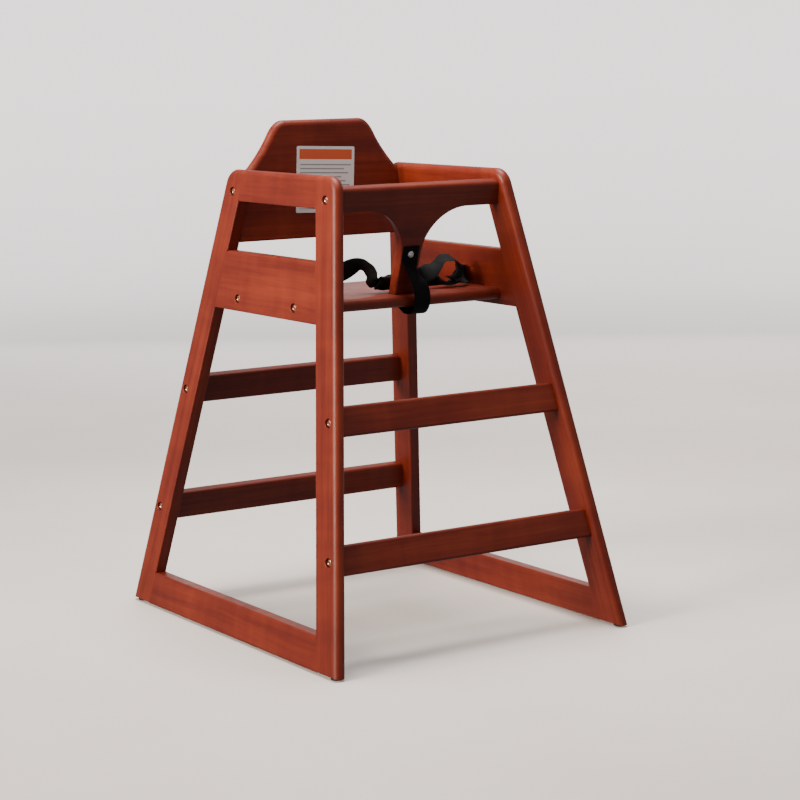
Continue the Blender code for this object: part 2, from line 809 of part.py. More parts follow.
def add_waist_straps(material):
    """Each strap runs from its side panel to its half of the buckle."""
    anchor_z = 0.5160
    wall = inner_x(anchor_z) - WEB_THICKNESS / 2 * SLANT
    slope = math.tan(LEAN)
    right = (
        ((-wall, -0.0040, anchor_z), (slope, 0, 1)),
        ((-wall, -0.0210, anchor_z), (slope, 0, 1)),
        ((-wall + 0.0004, -0.0260, anchor_z), (slope, 0, 1)),
        ((-wall + 0.0060, -0.0370, anchor_z + 0.0006), (slope, 0, 1)),
        ((-0.1350, -0.0420, 0.5200), (0, 0, 1)),
        ((-0.1080, -0.0450, 0.5265), (0, 0, 1)),
        ((-0.0860, -0.0470, 0.5320), (0, -0.05, 1)),
        ((-0.0738, -0.0480, 0.5360), (0, -0.12, 0.99)),
        ((-0.0647, -0.0500, 0.5405), (0, -0.25, 0.97)),
        ((-0.0557, -0.0525, 0.5434), (0, -0.48, 0.87)),
        ((-0.0490, -0.0545, 0.5440), (0.05, -0.72, 0.70)),
        ((-0.0430, -0.0565, 0.5420), (0.08, -0.90, 0.42)),
        ((-0.0375, -0.0585, 0.5375), (0.08, -0.94, 0.32)),
        ((-0.0338, -0.0602, 0.5300), (0.05, -0.91, 0.40)),
        ((-0.0328, -0.0612, 0.5220), (0, -0.80, 0.60)),
        belt_row(SOCKET_BACK_X - 0.0056, 0.0004),
        belt_row(SOCKET_BACK_X - 0.0022, 0),
    )
    ribbon("right_waist_strap", right, material)
    bar = PLUG_END_X + 0.0022
    left = (
        ((wall, -0.0040, anchor_z), (-slope, 0, 1)),
        ((wall, -0.0210, anchor_z), (-slope, 0, 1)),
        ((wall - 0.0004, -0.0260, anchor_z), (-slope, 0, 1)),
        ((wall - 0.0060, -0.0370, anchor_z + 0.0006), (-0.05, 0.10, 0.99)),
        ((0.1380, -0.0480, 0.5150), (0.05, 0.62, 0.78)),
        ((0.1290, -0.0530, 0.5105), (0, 0.90, 0.42)),
        ((0.1150, -0.0570, 0.5080), (0.10, 0.98, 0.02)),
        ((0.1000, -0.0580, 0.5085), (0, 0.95, 0.30)),
        ((0.0850, -0.0560, 0.5150), (0, 0.72, 0.70)),
        ((0.0700, -0.0545, 0.5170), (0, 0.55, 0.83)),
        ((0.0600, -0.0540, 0.5178), (0, 0.35, 0.94)),
        ((0.0500, -0.0560, 0.5180), (0, -0.10, 1)),
        belt_row(bar + 0.0050, 0.0030),
        belt_row(bar, 0),
        belt_row(bar + 0.0050, -0.0030),
        ((0.0500, -0.0640, 0.5205), (0, -0.10, 1)),
        ((0.0600, -0.0625, 0.5235), (-0.10, 0.35, 0.93)),
        ((0.0710, -0.0610, 0.5290), (-0.25, 0.70, 0.67)),
        ((0.0821, -0.0600, 0.5361), (-0.10, 0.97, 0.20)),
        ((0.0895, -0.0600, 0.5424), (0, 0.99, 0.10)),
        ((0.1000, -0.0600, 0.5463), (0, 0.94, 0.33)),
        ((0.1110, -0.0600, 0.5450), (0.12, 0.94, 0.28)),
        ((0.1207, -0.0600, 0.5385), (0.28, 0.95, 0.10)),
        ((0.1256, -0.0600, 0.5303), (0.32, 0.95, 0)),
        ((0.1255, -0.0600, 0.5225), (0.25, 0.96, 0.05)),
        ((0.1195, -0.0600, 0.5160), (0.10, 0.97, 0.15)),
        ((0.1090, -0.0600, 0.5138), (0, 0.97, 0.20)),
    )
    ribbon("left_waist_strap", left, material)


def add_label(material):
    """Plain sticker on the backrest's front face, put on slightly askew."""
    width, height, thickness = 0.104, 0.102, 0.0004
    face = BACKREST_Y - BACKREST_THICKNESS / 2 - GAP
    low = (-width / 2, -thickness, -height / 2)
    high = (width / 2, 0, height / 2)
    label = add_object("label", box_mesh("label", low, high), material)
    label.location = (0.002, face, 0.6605)
    label.rotation_euler = (0, math.radians(2.4), 0)


def add_harness(front_panel, materials):
    strap = add_crotch_strap(materials["webbing"])
    add_crotch_screw(strap, front_panel, materials["screw"])
    add_waist_straps(materials["webbing"])
    add_buckle_socket(materials["plastic"])
    add_buckle_plug(materials["plastic"])


def clear_scene():
    for old in list(bpy.data.objects):
        bpy.data.objects.remove(old)


def main():
    clear_scene()
    materials = make_materials()
    wood = materials["wood"]
    frames = {word: add_side_frame(word, side, wood) for word, side in SIDES.items()}
    boards = {
        "seat": add_seat(wood),
        "backrest": add_backrest(wood),
        "front_panel": add_front_panel(wood),
    }
    for end_word, end in ENDS.items():
        for level_word, level in BAR_LEVELS.items():
            name = f"{end_word}_{level_word}_bar"
            boards[name] = add_bar(name, end, level, wood)
    add_fasteners(frames, boards, materials)
    add_glides(materials)
    add_harness(boards["front_panel"], materials)
    add_label(materials["sticker"])


main()
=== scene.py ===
import math

import bmesh
import bpy
from mathutils import Matrix, Vector


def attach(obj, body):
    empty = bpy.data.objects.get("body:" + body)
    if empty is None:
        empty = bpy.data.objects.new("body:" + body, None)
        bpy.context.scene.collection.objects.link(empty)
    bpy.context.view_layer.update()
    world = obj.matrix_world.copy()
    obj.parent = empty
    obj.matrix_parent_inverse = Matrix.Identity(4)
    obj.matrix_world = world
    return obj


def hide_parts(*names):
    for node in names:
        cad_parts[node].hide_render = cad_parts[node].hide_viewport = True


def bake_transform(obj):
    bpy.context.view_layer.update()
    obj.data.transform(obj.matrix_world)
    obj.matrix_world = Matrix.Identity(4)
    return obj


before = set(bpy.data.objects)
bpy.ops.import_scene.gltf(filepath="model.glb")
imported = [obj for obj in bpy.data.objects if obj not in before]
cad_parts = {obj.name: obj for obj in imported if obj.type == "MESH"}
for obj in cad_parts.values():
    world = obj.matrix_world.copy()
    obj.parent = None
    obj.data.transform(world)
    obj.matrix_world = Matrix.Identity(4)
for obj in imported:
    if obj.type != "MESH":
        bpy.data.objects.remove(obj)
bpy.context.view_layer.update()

# ------------------------------------------------------------ dimensions

FLOOR_WIDTH = 0.519
FLOOR_DEPTH = 0.6073
ARM_HEIGHT = 0.683
CREST_HEIGHT = 0.753
LEAN = math.radians(8.9)
RAKE = 0.2185
SLANT = 1 / math.cos(LEAN)
HAIR = 0.0001
GLUE_LINE = 0.00003

FRAME_THICKNESS = 0.0184
FRAME_ACROSS = FRAME_THICKNESS * SLANT
LEG_WIDTH = 0.0528
ARM_CORNER_RADIUS = 0.026
ARM_RAIL_UNDERSIDE = 0.635
SIDE_PANEL_TOP = 0.561
SIDE_PANEL_UNDERSIDE = 0.474
BOTTOM_RAIL_TOP = 0.053
GLIDE_HEIGHT = 0.003
GLIDE_INSET = 0.016

ROUND = 0.0088
EASED = 0.0020
FOOT_EASED = 0.0030
PANEL_EASED = 0.0034
PANEL_TOP_ROUND = 0.0064
SEAT_ROUND = 0.0085
SOFT_EASED = 0.0040
RIM_END = 0.0005
RIM_SEGMENTS = 7

SEAT_TOP = 0.501
SEAT_THICKNESS = 0.018
SEAT_HALF_DEPTH = 0.112
BACKREST_Y = 0.1315
BACKREST_THICKNESS = 0.0184
BACKREST_UNDERSIDE = 0.572
BACKREST_SHOULDER = 0.6785
BACKREST_WAIST = (0.0967, 0.7282)
BACKREST_CREST_HALF = 0.068
PANEL_TILT = math.radians(17.0)
PANEL_THICKNESS = 0.0180
PANEL_BOLT_Y = -0.1330
PANEL_BOLT_Z = 0.648
PANEL_BAR_ABOVE = 0.0186
PANEL_BAR_BELOW = 0.0179
STEM_HALF_WIDTH = 0.0172
STEM_ARCH_RADIUS = 0.0706
BAR_HEIGHT = 0.0434
BAR_THICKNESS = 0.0178
BAR_INSET = 0.0200
BAR_LEVELS = {"lower": 0.1555, "upper": 0.3430}

HEAD_RADIUS = 0.0052
HEAD_HEIGHT = 0.0060
HEAD_RECESS = 0.0020
COUNTERBORE_RADIUS = 0.0070
DOWEL_RADIUS = 0.0050
DOWEL_LENGTH = 0.0124
DOWEL_INSET = 0.0300
DOWEL_BORE_RADIUS = 0.0053
DOWEL_BORE_PAST_BOLT = 0.0067
SEAT_BOLT_Y = 0.0807
SEAT_BOLT_Z = SEAT_TOP - SEAT_THICKNESS / 2
BACKREST_BOLT_Z = 0.649

WEB_WIDTH = 0.0280
WEB_THICKNESS = 0.0016
GAP = 0.0003
BELT_Y = -0.0620
BUCKLE_WIDTH = 0.0320
BUCKLE_THICKNESS = 0.0110
BUCKLE_LEAN = math.radians(-50.0)
BUCKLE_Z = SEAT_TOP + 0.0152
SOCKET_BACK_X = -0.0240
MOUTH_X = 0.0155
SOCKET_CHANNEL_DEPTH = 0.0240
CHANNEL_HALF_WIDTH = 0.0130
CHANNEL_HALF_THICKNESS = 0.0034
PLUG_END_X = 0.0325
STRAP_SLOT = 0.0036
ANCHOR_Y = -0.0135
ANCHOR_Z = 0.5160
CROTCH_SCREW = (-0.0022, 0.5610)
CROTCH_END_X = 0.0118
CROTCH_END_SCREW_Y = -0.0610
STEM_SCREW_X = 0.0100
STEM_SCREW_Y = -0.0905

LABEL_SIZE = (0.104, 0.102)
LABEL_THICKNESS = 0.00024
LABEL_X = 0.0020
LABEL_Z = 0.6605
LABEL_ASKEW = math.radians(2.4)

CAMERA_PLACE = (-1.8508, -2.8729, 0.8590)
CAMERA_ANGLES = (-33.541, -8.789, -0.765)
CAMERA_LENS = 102.377
FLOOR_REACH = 4.6
COVE_RADIUS = 1.6
BACKDROP_TOP = 4.4

SIDES = {"right": -1, "left": 1}
ENDS = {"front": -1, "rear": 1}

# --------------------------------------------------------- shader helpers


class Nodes:
    """Small builder for one material's node tree."""

    def __init__(self, name):
        self.material = bpy.data.materials.new(name)
        self.material.use_nodes = True
        self.tree = self.material.node_tree
        self.shader = self.tree.nodes["Principled BSDF"]

    def plug(self, socket, value):
        if isinstance(value, bpy.types.NodeSocket):
            self.tree.links.new(value, socket)
        elif isinstance(value, tuple) and socket.type == "RGBA":
            socket.default_value = (*value, 1.0)
        else:
            socket.default_value = value

    def add(self, kind, **inputs):
        node = self.tree.nodes.new(kind)
        for key, value in inputs.items():
            self.plug(node.inputs[key.replace("_", " ")], value)
        return node

    def math(self, operation, first, second=0.0, third=0.0, clamp=False):
        node = self.tree.nodes.new("ShaderNodeMath")
        node.operation = operation
        node.use_clamp = clamp
        for i, value in enumerate((first, second, third)):
            self.plug(node.inputs[i], value)
        return node.outputs[0]

    def coordinates(self, kind="Object"):
        return self.tree.nodes.new("ShaderNodeTexCoord").outputs[kind]

    def vector_math(self, operation, *values):
        node = self.tree.nodes.new("ShaderNodeVectorMath")
        node.operation = operation
        for i, value in enumerate(values):
            self.plug(node.inputs[i], value)
        return node.outputs

    def noise(self, vector, scale, detail=3.0, roughness=0.5, distortion=0.0):
        node = self.add(
            "ShaderNodeTexNoise",
            Vector=self.vector_math("MULTIPLY", vector, scale)[0],
            Scale=1.0,
            Detail=detail,
            Roughness=roughness,
            Distortion=distortion,
        )
        return node.outputs["Fac"]

    def ramp(self, factor, stops):
        node = self.tree.nodes.new("ShaderNodeValToRGB")
        elements = node.color_ramp.elements
        while len(elements) < len(stops):
            elements.new(0.5)
        for element, (position, color) in zip(elements, stops):
            element.position = position
            element.color = (*color, 1.0)
        self.plug(node.inputs[0], factor)
        return node.outputs["Color"]

    def span(self, factor, low, high, out_low=0.0, out_high=1.0):
        ends = {"From_Min": low, "From_Max": high, "To_Min": out_low, "To_Max": out_high}
        return self.add("ShaderNodeMapRange", Value=factor, **ends).outputs["Result"]

    def mix(self, factor, first, second):
        node = self.tree.nodes.new("ShaderNodeMix")
        node.data_type = "RGBA"
        for index, value in ((0, factor), (6, first), (7, second)):
            self.plug(node.inputs[index], value)
        return node.outputs[2]

    def bump(self, height, distance, strength=1.0, normal=None):
        node = self.add("ShaderNodeBump", Strength=strength, Distance=distance, Height=height)
        if normal:
            self.plug(node.inputs["Normal"], normal)
        return node.outputs["Normal"]

    def finish(self, **inputs):
        for key, value in inputs.items():
            self.plug(self.shader.inputs[key.replace("_", " ")], value)
        return self.material


def wood_material():
    """Red-brown stain under satin lacquer; each board's X runs along its grain."""
    n = Nodes("cherry_lacquer_wood")
    at = n.coordinates()
    bend = n.noise(at, (4, 9, 9), 2, 0.5)
    grain_at = n.vector_math("MULTIPLY_ADD", bend, (0.0, 0.010, 0.010), at)[0]
    streaks = n.noise(grain_at, (5, 240, 240), 5, 0.6, 0.3)
    bands = n.noise(grain_at, (3, 60, 60), 3, 0.55, 0.5)
    figure = n.noise(at, (38, 7, 7), 2, 0.45, 0.6)
    blotch = n.noise(at, (6, 16, 16), 3, 0.5)
    pores = n.noise(grain_at, (95, 1500, 1500), 2, 0.6)
    tone = n.math("MULTIPLY", streaks, 0.26)
    tone = n.math("MULTIPLY_ADD", bands, 0.30, tone)
    tone = n.math("MULTIPLY_ADD", figure, 0.14, tone)
    tone = n.math("MULTIPLY_ADD", blotch, 0.30, tone)
    stain = n.ramp(
        tone,
        (
            (0.34, (0.076, 0.0056, 0.0018)),
            (0.46, (0.118, 0.0108, 0.0033)),
            (0.54, (0.154, 0.0172, 0.0051)),
            (0.65, (0.200, 0.0270, 0.0082)),
        ),
    )
    pore = n.span(pores, 0.60, 0.72)
    color = n.mix(n.math("MULTIPLY", pore, 0.35), stain, (0.085, 0.0100, 0.0060))
    smear = n.noise(at, (60, 90, 90), 3, 0.6)
    roughness = n.span(smear, 0.3, 0.7, 0.40, 0.50)
    height = n.math("MULTIPLY_ADD", pores, -0.35, n.math("MULTIPLY", streaks, 0.65))
    ripple = n.bump(n.noise(at, (28, 60, 60), 2, 0.5), 0.0007, 0.35)
    normal = n.bump(height, 0.00025, 0.30, ripple)
    return n.finish(
        Base_Color=color,
        Roughness=roughness,
        Normal=normal,
        Specular_IOR_Level=0.26,
        Coat_Weight=0.06,
        Coat_Roughness=0.30,
    )


def steel_material(name, light, dark, roughness):
    """Plated steel with turning marks and small stains."""
    n = Nodes(name)
    at = n.coordinates()
    stain = n.noise(at, (420, 420, 420), 3, 0.6)
    color = n.mix(n.span(stain, 0.42, 0.68), light, dark)
    turning = n.noise(at, (3800, 260, 260), 2, 0.5)
    height = n.math("MULTIPLY_ADD", turning, 0.5, n.math("MULTIPLY", stain, 0.5))
    return n.finish(
        Base_Color=color,
        Metallic=1.0,
        Roughness=n.span(stain, 0.3, 0.7, roughness - 0.05, roughness + 0.10),
        Normal=n.bump(height, 0.00006, 0.35),
    )


def webbing_material():
    """Black woven webbing; UV runs along and across the strap in metres."""
    n = Nodes("black_webbing_weave")
    uv = n.coordinates("UV")
    axes = n.add("ShaderNodeSeparateXYZ", Vector=uv)
    along, across = axes.outputs[0], axes.outputs[1]
    column = n.math("PINGPONG", n.math("DIVIDE", across, 0.0023), 0.5)
    slope = n.math("MULTIPLY_ADD", column, 1.6, n.math("DIVIDE", along, 0.00155))
    rib = n.math("SINE", n.math("MULTIPLY", slope, 2 * math.pi))
    yarn = n.math("SINE", n.math("MULTIPLY", across, 2 * math.pi / 0.00077))
    weave = n.math("MULTIPLY_ADD", rib, 0.34, 0.5)
    weave = n.math("MULTIPLY_ADD", yarn, 0.16, weave)
    fuzz = n.noise(uv, (900, 3200, 1), 3, 0.7)
    worn = n.noise(uv, (22, 60, 1), 3, 0.6)
    shade = n.math("MULTIPLY_ADD", fuzz, 0.4, n.math("MULTIPLY", weave, 0.6))
    color = n.ramp(shade, ((0.25, (0.0007, 0.0007, 0.0008)), (0.75, (0.0042, 0.0044, 0.0044))))
    dust = n.math("MULTIPLY", n.span(worn, 0.45, 0.75), 0.30)
    color = n.mix(dust, color, (0.0075, 0.0077, 0.0074))
    height = n.math("MULTIPLY_ADD", fuzz, 0.25, weave)
    return n.finish(
        Base_Color=color,
        Roughness=n.span(shade, 0.2, 0.8, 0.62, 0.82),
        Normal=n.bump(height, 0.00028, 0.9),
        Specular_IOR_Level=0.12,
        Sheen_Weight=0.01,
        Sheen_Roughness=0.35,
    )


def thread_material():
    n = Nodes("black_thread")
    at = n.coordinates()
    twist = n.noise(at, (2600, 2600, 2600), 2, 0.6)
    color = n.ramp(twist, ((0.3, (0.0012, 0.0012, 0.0013)), (0.7, (0.0080, 0.0080, 0.0078))))
    return n.finish(
        Base_Color=color,
        Roughness=0.55,
        Normal=n.bump(twist, 0.0001, 0.6),
        Specular_IOR_Level=0.20,
    )


def plastic_material():
    """Black acetal with a fine spark-eroded texture and faint flow marks."""
    n = Nodes("black_acetal")
    at = n.coordinates()
    spark = n.noise(at, (2600, 2600, 2600), 2, 0.6)
    flow = n.noise(at, (120, 260, 90), 3, 0.5)
    color = n.ramp(flow, ((0.3, (0.0022, 0.0022, 0.0024)), (0.7, (0.0050, 0.0050, 0.0052))))
    return n.finish(
        Base_Color=color,
        Roughness=n.span(spark, 0.3, 0.7, 0.34, 0.50),
        Normal=n.bump(spark, 0.00006, 0.5),
        Specular_IOR_Level=0.30,
    )


def rubber_material():
    n = Nodes("black_glide_rubber")
    at = n.coordinates()
    speck = n.noise(at, (1500, 1500, 1500), 3, 0.6)
    grit = n.noise(at, (260, 260, 260), 3, 0.6)
    color = n.ramp(grit, ((0.35, (0.0080, 0.0080, 0.0080)), (0.75, (0.0330, 0.0310, 0.0290))))
    return n.finish(Base_Color=color, Roughness=0.72, Normal=n.bump(speck, 0.0001, 0.6))


def box_mask(n, across, up, left, right, low, high, soft=0.00015):
    """One inside the rectangle, nought outside it."""
    edges = (
        n.span(across, left - soft, left + soft),
        n.span(across, right + soft, right - soft),
        n.span(up, low - soft, low + soft),
        n.span(up, high + soft, high - soft),
    )
    mask = edges[0]
    for edge in edges[1:]:
        mask = n.math("MULTIPLY", mask, edge)
    return mask


def label_material(width, height):
    """Pale printed film: a plain orange band and rows of plain grey bars."""
    n = Nodes("plain_sticker_film")
    at = n.coordinates()
    axes = n.add("ShaderNodeSeparateXYZ", Vector=at)
    across, up = axes.outputs[0], axes.outputs[2]
    fibre = n.noise(at, (700, 700, 700), 3, 0.6)
    paper = n.ramp(fibre, ((0.3, (0.640, 0.615, 0.600)), (0.7, (0.700, 0.680, 0.665))))
    top = height / 2 - 0.0045
    band = box_mask(n, across, up, -width / 2 + 0.0045, width / 2 - 0.0045, top - 0.0155, top)
    color = n.mix(band, paper, (0.560, 0.090, 0.028))
    first = top - 0.0225
    pitch = 0.0062
    row = n.math("DIVIDE", n.math("SUBTRACT", first, up), pitch)
    index = n.math("FLOOR", row)
    part = n.math("FRACT", row)
    inside = n.math("MULTIPLY", n.span(part, 0.0, 0.05), n.span(part, 0.40, 0.34))
    ragged = n.math("FRACT", n.math("MULTIPLY", index, 0.618))
    end = n.math("MULTIPLY_ADD", ragged, -0.020, width / 2 - 0.006)
    start = n.span(across, -width / 2 + 0.0060, -width / 2 + 0.0063)
    stop = n.math("LESS_THAN", across, end)
    foot = 0.0055 - height / 2
    rows = n.math("MULTIPLY", n.span(up, first, first - 0.0002), n.span(up, foot, foot + 0.0002))
    ink = n.math("MULTIPLY", n.math("MULTIPLY", inside, rows), n.math("MULTIPLY", start, stop))
    color = n.mix(n.math("MULTIPLY", ink, 0.72), color, (0.130, 0.125, 0.125))
    return n.finish(
        Base_Color=color,
        Roughness=n.span(fibre, 0.3, 0.7, 0.38, 0.48),
        Normal=n.bump(fibre, 0.00004, 0.3),
    )


def backdrop_material():
    n = Nodes("pale_backdrop")
    cloud = n.noise(n.coordinates(), (1.3, 1.3, 1.3), 4, 0.6)
    color = n.ramp(cloud, ((0.3, (0.640, 0.575, 0.530)), (0.7, (0.710, 0.650, 0.610))))
    distance = n.vector_math("LENGTH", n.coordinates())["Value"]
    glow = n.span(distance, 1.6, 6.0, 0.0, 1.60)
    return n.finish(
        Base_Color=color,
        Roughness=0.70,
        Emission_Color=(1.0, 0.970, 0.950),
        Emission_Strength=glow,
    )


# ------------------------------------------------------------ mesh helpers


def paint(mesh, material):
    mesh.materials.clear()
    mesh.materials.append(material)


def link(name, mesh, material=None):
    piece = bpy.data.objects.new(name, mesh)
    bpy.context.scene.collection.objects.link(piece)
    if material:
        paint(mesh, material)
    return piece


def made(work, name):
    """The finished mesh of the working geometry, with its faces pointing out."""
    bmesh.ops.recalc_face_normals(work, faces=work.faces)
    mesh = bpy.data.meshes.new(name)
    work.to_mesh(mesh)
    work.free()
    return mesh


def skin(work, rings, caps=(0, -1)):
    """Faces from each ring to the next, and across the rings named in caps."""
    for first, second in zip(rings, rings[1:]):
        for i in range(len(first)):
            j = (i + 1) % len(first)
            work.faces.new((first[i], first[j], second[j], second[i]))
    for cap in caps:
        work.faces.new(rings[cap])


def slab(name, near_cap, far_cap):
    """A closed mesh between two matching outlines."""
    work = bmesh.new()
    skin(work, [[work.verts.new(place) for place in cap] for cap in (near_cap, far_cap)])
    return made(work, name)


def smooth(mesh, degrees=35):
    mesh.shade_smooth()
    mesh.set_sharp_from_angle(angle=math.radians(degrees))


def applied(piece, cutters=()):
    """The piece's mesh with its modifiers and cutters applied."""
    for tool in cutters:
        boolean = piece.modifiers.new("cut", "BOOLEAN")
        boolean.operation = "DIFFERENCE"
        boolean.object = tool
    graph = bpy.context.evaluated_depsgraph_get()
    mesh = bpy.data.meshes.new_from_object(piece.evaluated_get(graph))
    piece.modifiers.clear()
    piece.data = mesh
    return mesh


def weighted(piece):
    modifier = piece.modifiers.new("even_faces", "WEIGHTED_NORMAL")
    modifier.keep_sharp = True
    modifier.weight = 100
    return applied(piece)


def mounted(piece, body, *nodes, slot=None):
    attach(piece, body)
    if nodes:
        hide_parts(*nodes)
    return piece


def settle(piece, matrix):
    """Keeps the piece where it is but gives its object that frame."""
    piece.data.transform(matrix.inverted())
    piece.matrix_world = matrix


def board_frame(centre, grain, up, serial):
    """Frame with X along the grain, set off so that each board's figure differs."""
    grain = Vector(grain).normalized()
    across = Vector(up).cross(grain).normalized()
    turn = Matrix((grain, across, grain.cross(across))).transposed()
    shift = Vector((0.37 * serial, 0.23 * serial, 0.11 * serial))
    matrix = turn.to_4x4()
    matrix.translation = Vector(centre) - turn @ shift
    return matrix


def turned(name, profile, sides=48):
    """A turned piece along X from (along, radius) or (along, radius, "hex")."""
    work = bmesh.new()
    rings = []
    for step in profile:
        verts = []
        for i in range(sides):
            angle = 2 * math.pi * i / sides
            reach = step[1]
            if len(step) > 2:
                reach = step[1] / math.cos((angle % (math.pi / 3)) - math.pi / 6)
            verts.append(work.verts.new((step[0], reach * math.cos(angle), reach * math.sin(angle))))
        rings.append(verts)
    skin(work, rings)
    mesh = made(work, name)
    smooth(mesh, 30)
    return mesh


def along_axis(point, direction):
    turn = Vector((1, 0, 0)).rotation_difference(Vector(direction))
    return Matrix.Translation(Vector(point)) @ turn.to_matrix().to_4x4()


def bezier(start, start_pull, end_pull, end, steps):
    points = []
    for i in range(1, steps + 1):
        t = i / steps
        u = 1 - t
        factors = (u**3, 3 * u * u * t, 3 * u * t * t, t**3)
        controls = (start, start_pull, end_pull, end)
        points.append(tuple(sum(f * c[k] for f, c in zip(factors, controls)) for k in range(2)))
    return points


def fillet(before, corner, after, radius, steps):
    corner = Vector(corner)
    back = (Vector(before) - corner).normalized()
    ahead = (Vector(after) - corner).normalized()
    half = back.angle(ahead) / 2
    centre = corner + (back + ahead).normalized() * radius / math.sin(half)
    start = corner + back * radius / math.tan(half) - centre
    end = corner + ahead * radius / math.tan(half) - centre
    sweep = start.angle_signed(end)
    return [tuple(centre + start @ Matrix.Rotation(sweep * i / steps, 2)) for i in range(steps + 1)]


# ----------------------------------------------------------------- boards


def outer_x(z):
    return FLOOR_WIDTH / 2 - z * math.tan(LEAN)


def inner_x(z, gap=HAIR):
    return outer_x(z) - FRAME_ACROSS - gap * SLANT


def frame_point(side, y, rise, depth):
    x = FLOOR_WIDTH / 2 - rise * math.sin(LEAN) - depth * math.cos(LEAN)
    z = rise * math.cos(LEAN) - depth * math.sin(LEAN)
    return (side * x, y, z)


def leg_edge(rise):
    return FLOOR_DEPTH / 2 - RAKE * rise


def leg_back(rise):
    return leg_edge(rise) - LEG_WIDTH


def level_rise(height, depth):
    return (height + depth * math.sin(LEAN)) * SLANT


class Workshop:
    """Makes the boards, each with its holes, and puts them on the chair."""

    def __init__(self, material):
        self.material = material
        self.serial = 0
        self.boards = {}

    def prism(self, name, near_cap, far_cap, radii, grain, up):
        """A board between two outlines, each rim edge rounded by its radius."""
        mesh = slab(f"{name}_wood", near_cap, far_cap)
        count = len(near_cap)
        rim_radius = {}
        for i, radius in enumerate(radii):
            j = (i + 1) % count
            rim_radius[frozenset((i, j))] = radius
            rim_radius[frozenset((i + count, j + count))] = radius
        weights = mesh.attributes.new("bevel_weight_edge", "FLOAT", "EDGE")
        for edge in mesh.edges:
            radius = rim_radius.get(frozenset(edge.vertices), 0.0)
            weights.data[edge.index].value = radius / ROUND
        self.serial += 1
        board = link(f"{name}_wood", mesh, self.material)
        bevel = board.modifiers.new("rounded_rims", "BEVEL")
        bevel.limit_method = "WEIGHT"
        bevel.width = ROUND
        bevel.segments = RIM_SEGMENTS
        bevel.use_clamp_overlap = False
        grain_facts = (Vector(grain).normalized(), Vector(up).normalized(), self.serial)
        self.boards[name] = (board, [], grain_facts)
        return board

    def drill(self, name, tool):
        self.boards[name][1].append(tool)

    def finish(self):
        tools = set()
        for name, (board, cutters, grain_facts) in self.boards.items():
            mesh = applied(board, cutters)
            tools.update(cutters)
            smooth(mesh, 30)
            weighted(board)
            corners = [Vector(v.co) for v in board.data.vertices]
            centre = sum(corners, Vector()) / len(corners)
            settle(board, board_frame(centre, *grain_facts))
            paint(board.data, self.material)
            mounted(board, "chair", name, slot="cherry_lacquer")
        for tool in tools:
            bpy.data.objects.remove(tool)


def leg_outline(depth):
    foot = level_rise(GLIDE_HEIGHT, depth)
    top = ARM_HEIGHT * SLANT
    corner = (leg_edge(top), top)
    arc = fillet((leg_edge(0), 0), corner, (0, top), ARM_CORNER_RADIUS, 14)
    outline = [(leg_back(foot), foot, FOOT_EASED), (leg_edge(foot), foot, ROUND)]
    outline += [(y, rise, ROUND) for y, rise in arc]
    outline.append((leg_back(top), top, 0.0))
    stations = (
        (ARM_RAIL_UNDERSIDE + RIM_END, 0.0),
        (ARM_RAIL_UNDERSIDE, EASED),
        (SIDE_PANEL_TOP, 0.0),
        (SIDE_PANEL_TOP - RIM_END, 0.0),
        (SIDE_PANEL_UNDERSIDE + RIM_END, 0.0),
        (SIDE_PANEL_UNDERSIDE, EASED),
        (BOTTOM_RAIL_TOP, 0.0),
        (BOTTOM_RAIL_TOP - RIM_END, 0.0),
    )
    for height, radius in stations:
        rise = level_rise(height, depth)
        outline.append((leg_back(rise), rise, radius))
    return outline


def side_up(side):
    """Outward normal of a side frame."""
    return (side * math.cos(LEAN), 0, math.sin(LEAN))


def make_leg(shop, word, side, end_word, end):
    caps = []
    for depth in (0.0, FRAME_THICKNESS):
        outline = leg_outline(depth)
        caps.append([frame_point(side, end * y, rise, depth) for y, rise, _ in outline])
    radii = [radius for _, _, radius in leg_outline(0.0)]
    low = Vector(frame_point(side, end * leg_edge(0), 0, 0))
    high = Vector(frame_point(side, end * leg_edge(0.6), 0.6, 0))
    shop.prism(f"{word}_{end_word}_leg", *caps, radii, high - low, side_up(side))


def make_rail(shop, name, side, low, high, radii):
    caps = []
    for depth in (0.0, FRAME_THICKNESS):
        bottom = level_rise(low, depth)
        top = ARM_HEIGHT * SLANT if high == ARM_HEIGHT else level_rise(high, depth)
        reach = [leg_back(rise) + GLUE_LINE for rise in (bottom, top)]
        outline = ((-reach[0], bottom), (reach[0], bottom), (reach[1], top), (-reach[1], top))
        caps.append([frame_point(side, y, rise, depth) for y, rise in outline])
    shop.prism(name, *caps, radii, (0, 1, 0), side_up(side))


def make_side_frame(shop, word, side):
    for end_word, end in ENDS.items():
        make_leg(shop, word, side, end_word, end)
    rows = (
        ("arm_rail", ARM_RAIL_UNDERSIDE, ARM_HEIGHT, (EASED, 0, ROUND, 0)),
        ("side_panel", SIDE_PANEL_UNDERSIDE, SIDE_PANEL_TOP, (EASED, 0, PANEL_EASED, 0)),
        ("bottom_rail", GLIDE_HEIGHT, BOTTOM_RAIL_TOP, (FOOT_EASED, 0, EASED, 0)),
    )
    for row, low, high, radii in rows:
        make_rail(shop, f"{word}_{row}", side, low, high, radii)


def make_seat(shop):
    caps = []
    for z in (SEAT_TOP - SEAT_THICKNESS, SEAT_TOP):
        x = inner_x(z)
        y = SEAT_HALF_DEPTH
        caps.append([(-x, -y, z), (x, -y, z), (x, y, z), (-x, y, z)])
    radii = (SEAT_ROUND, 0, SEAT_ROUND, 0)
    shop.prism("seat", *caps, radii, (1, 0, 0), (0, 0, 1))


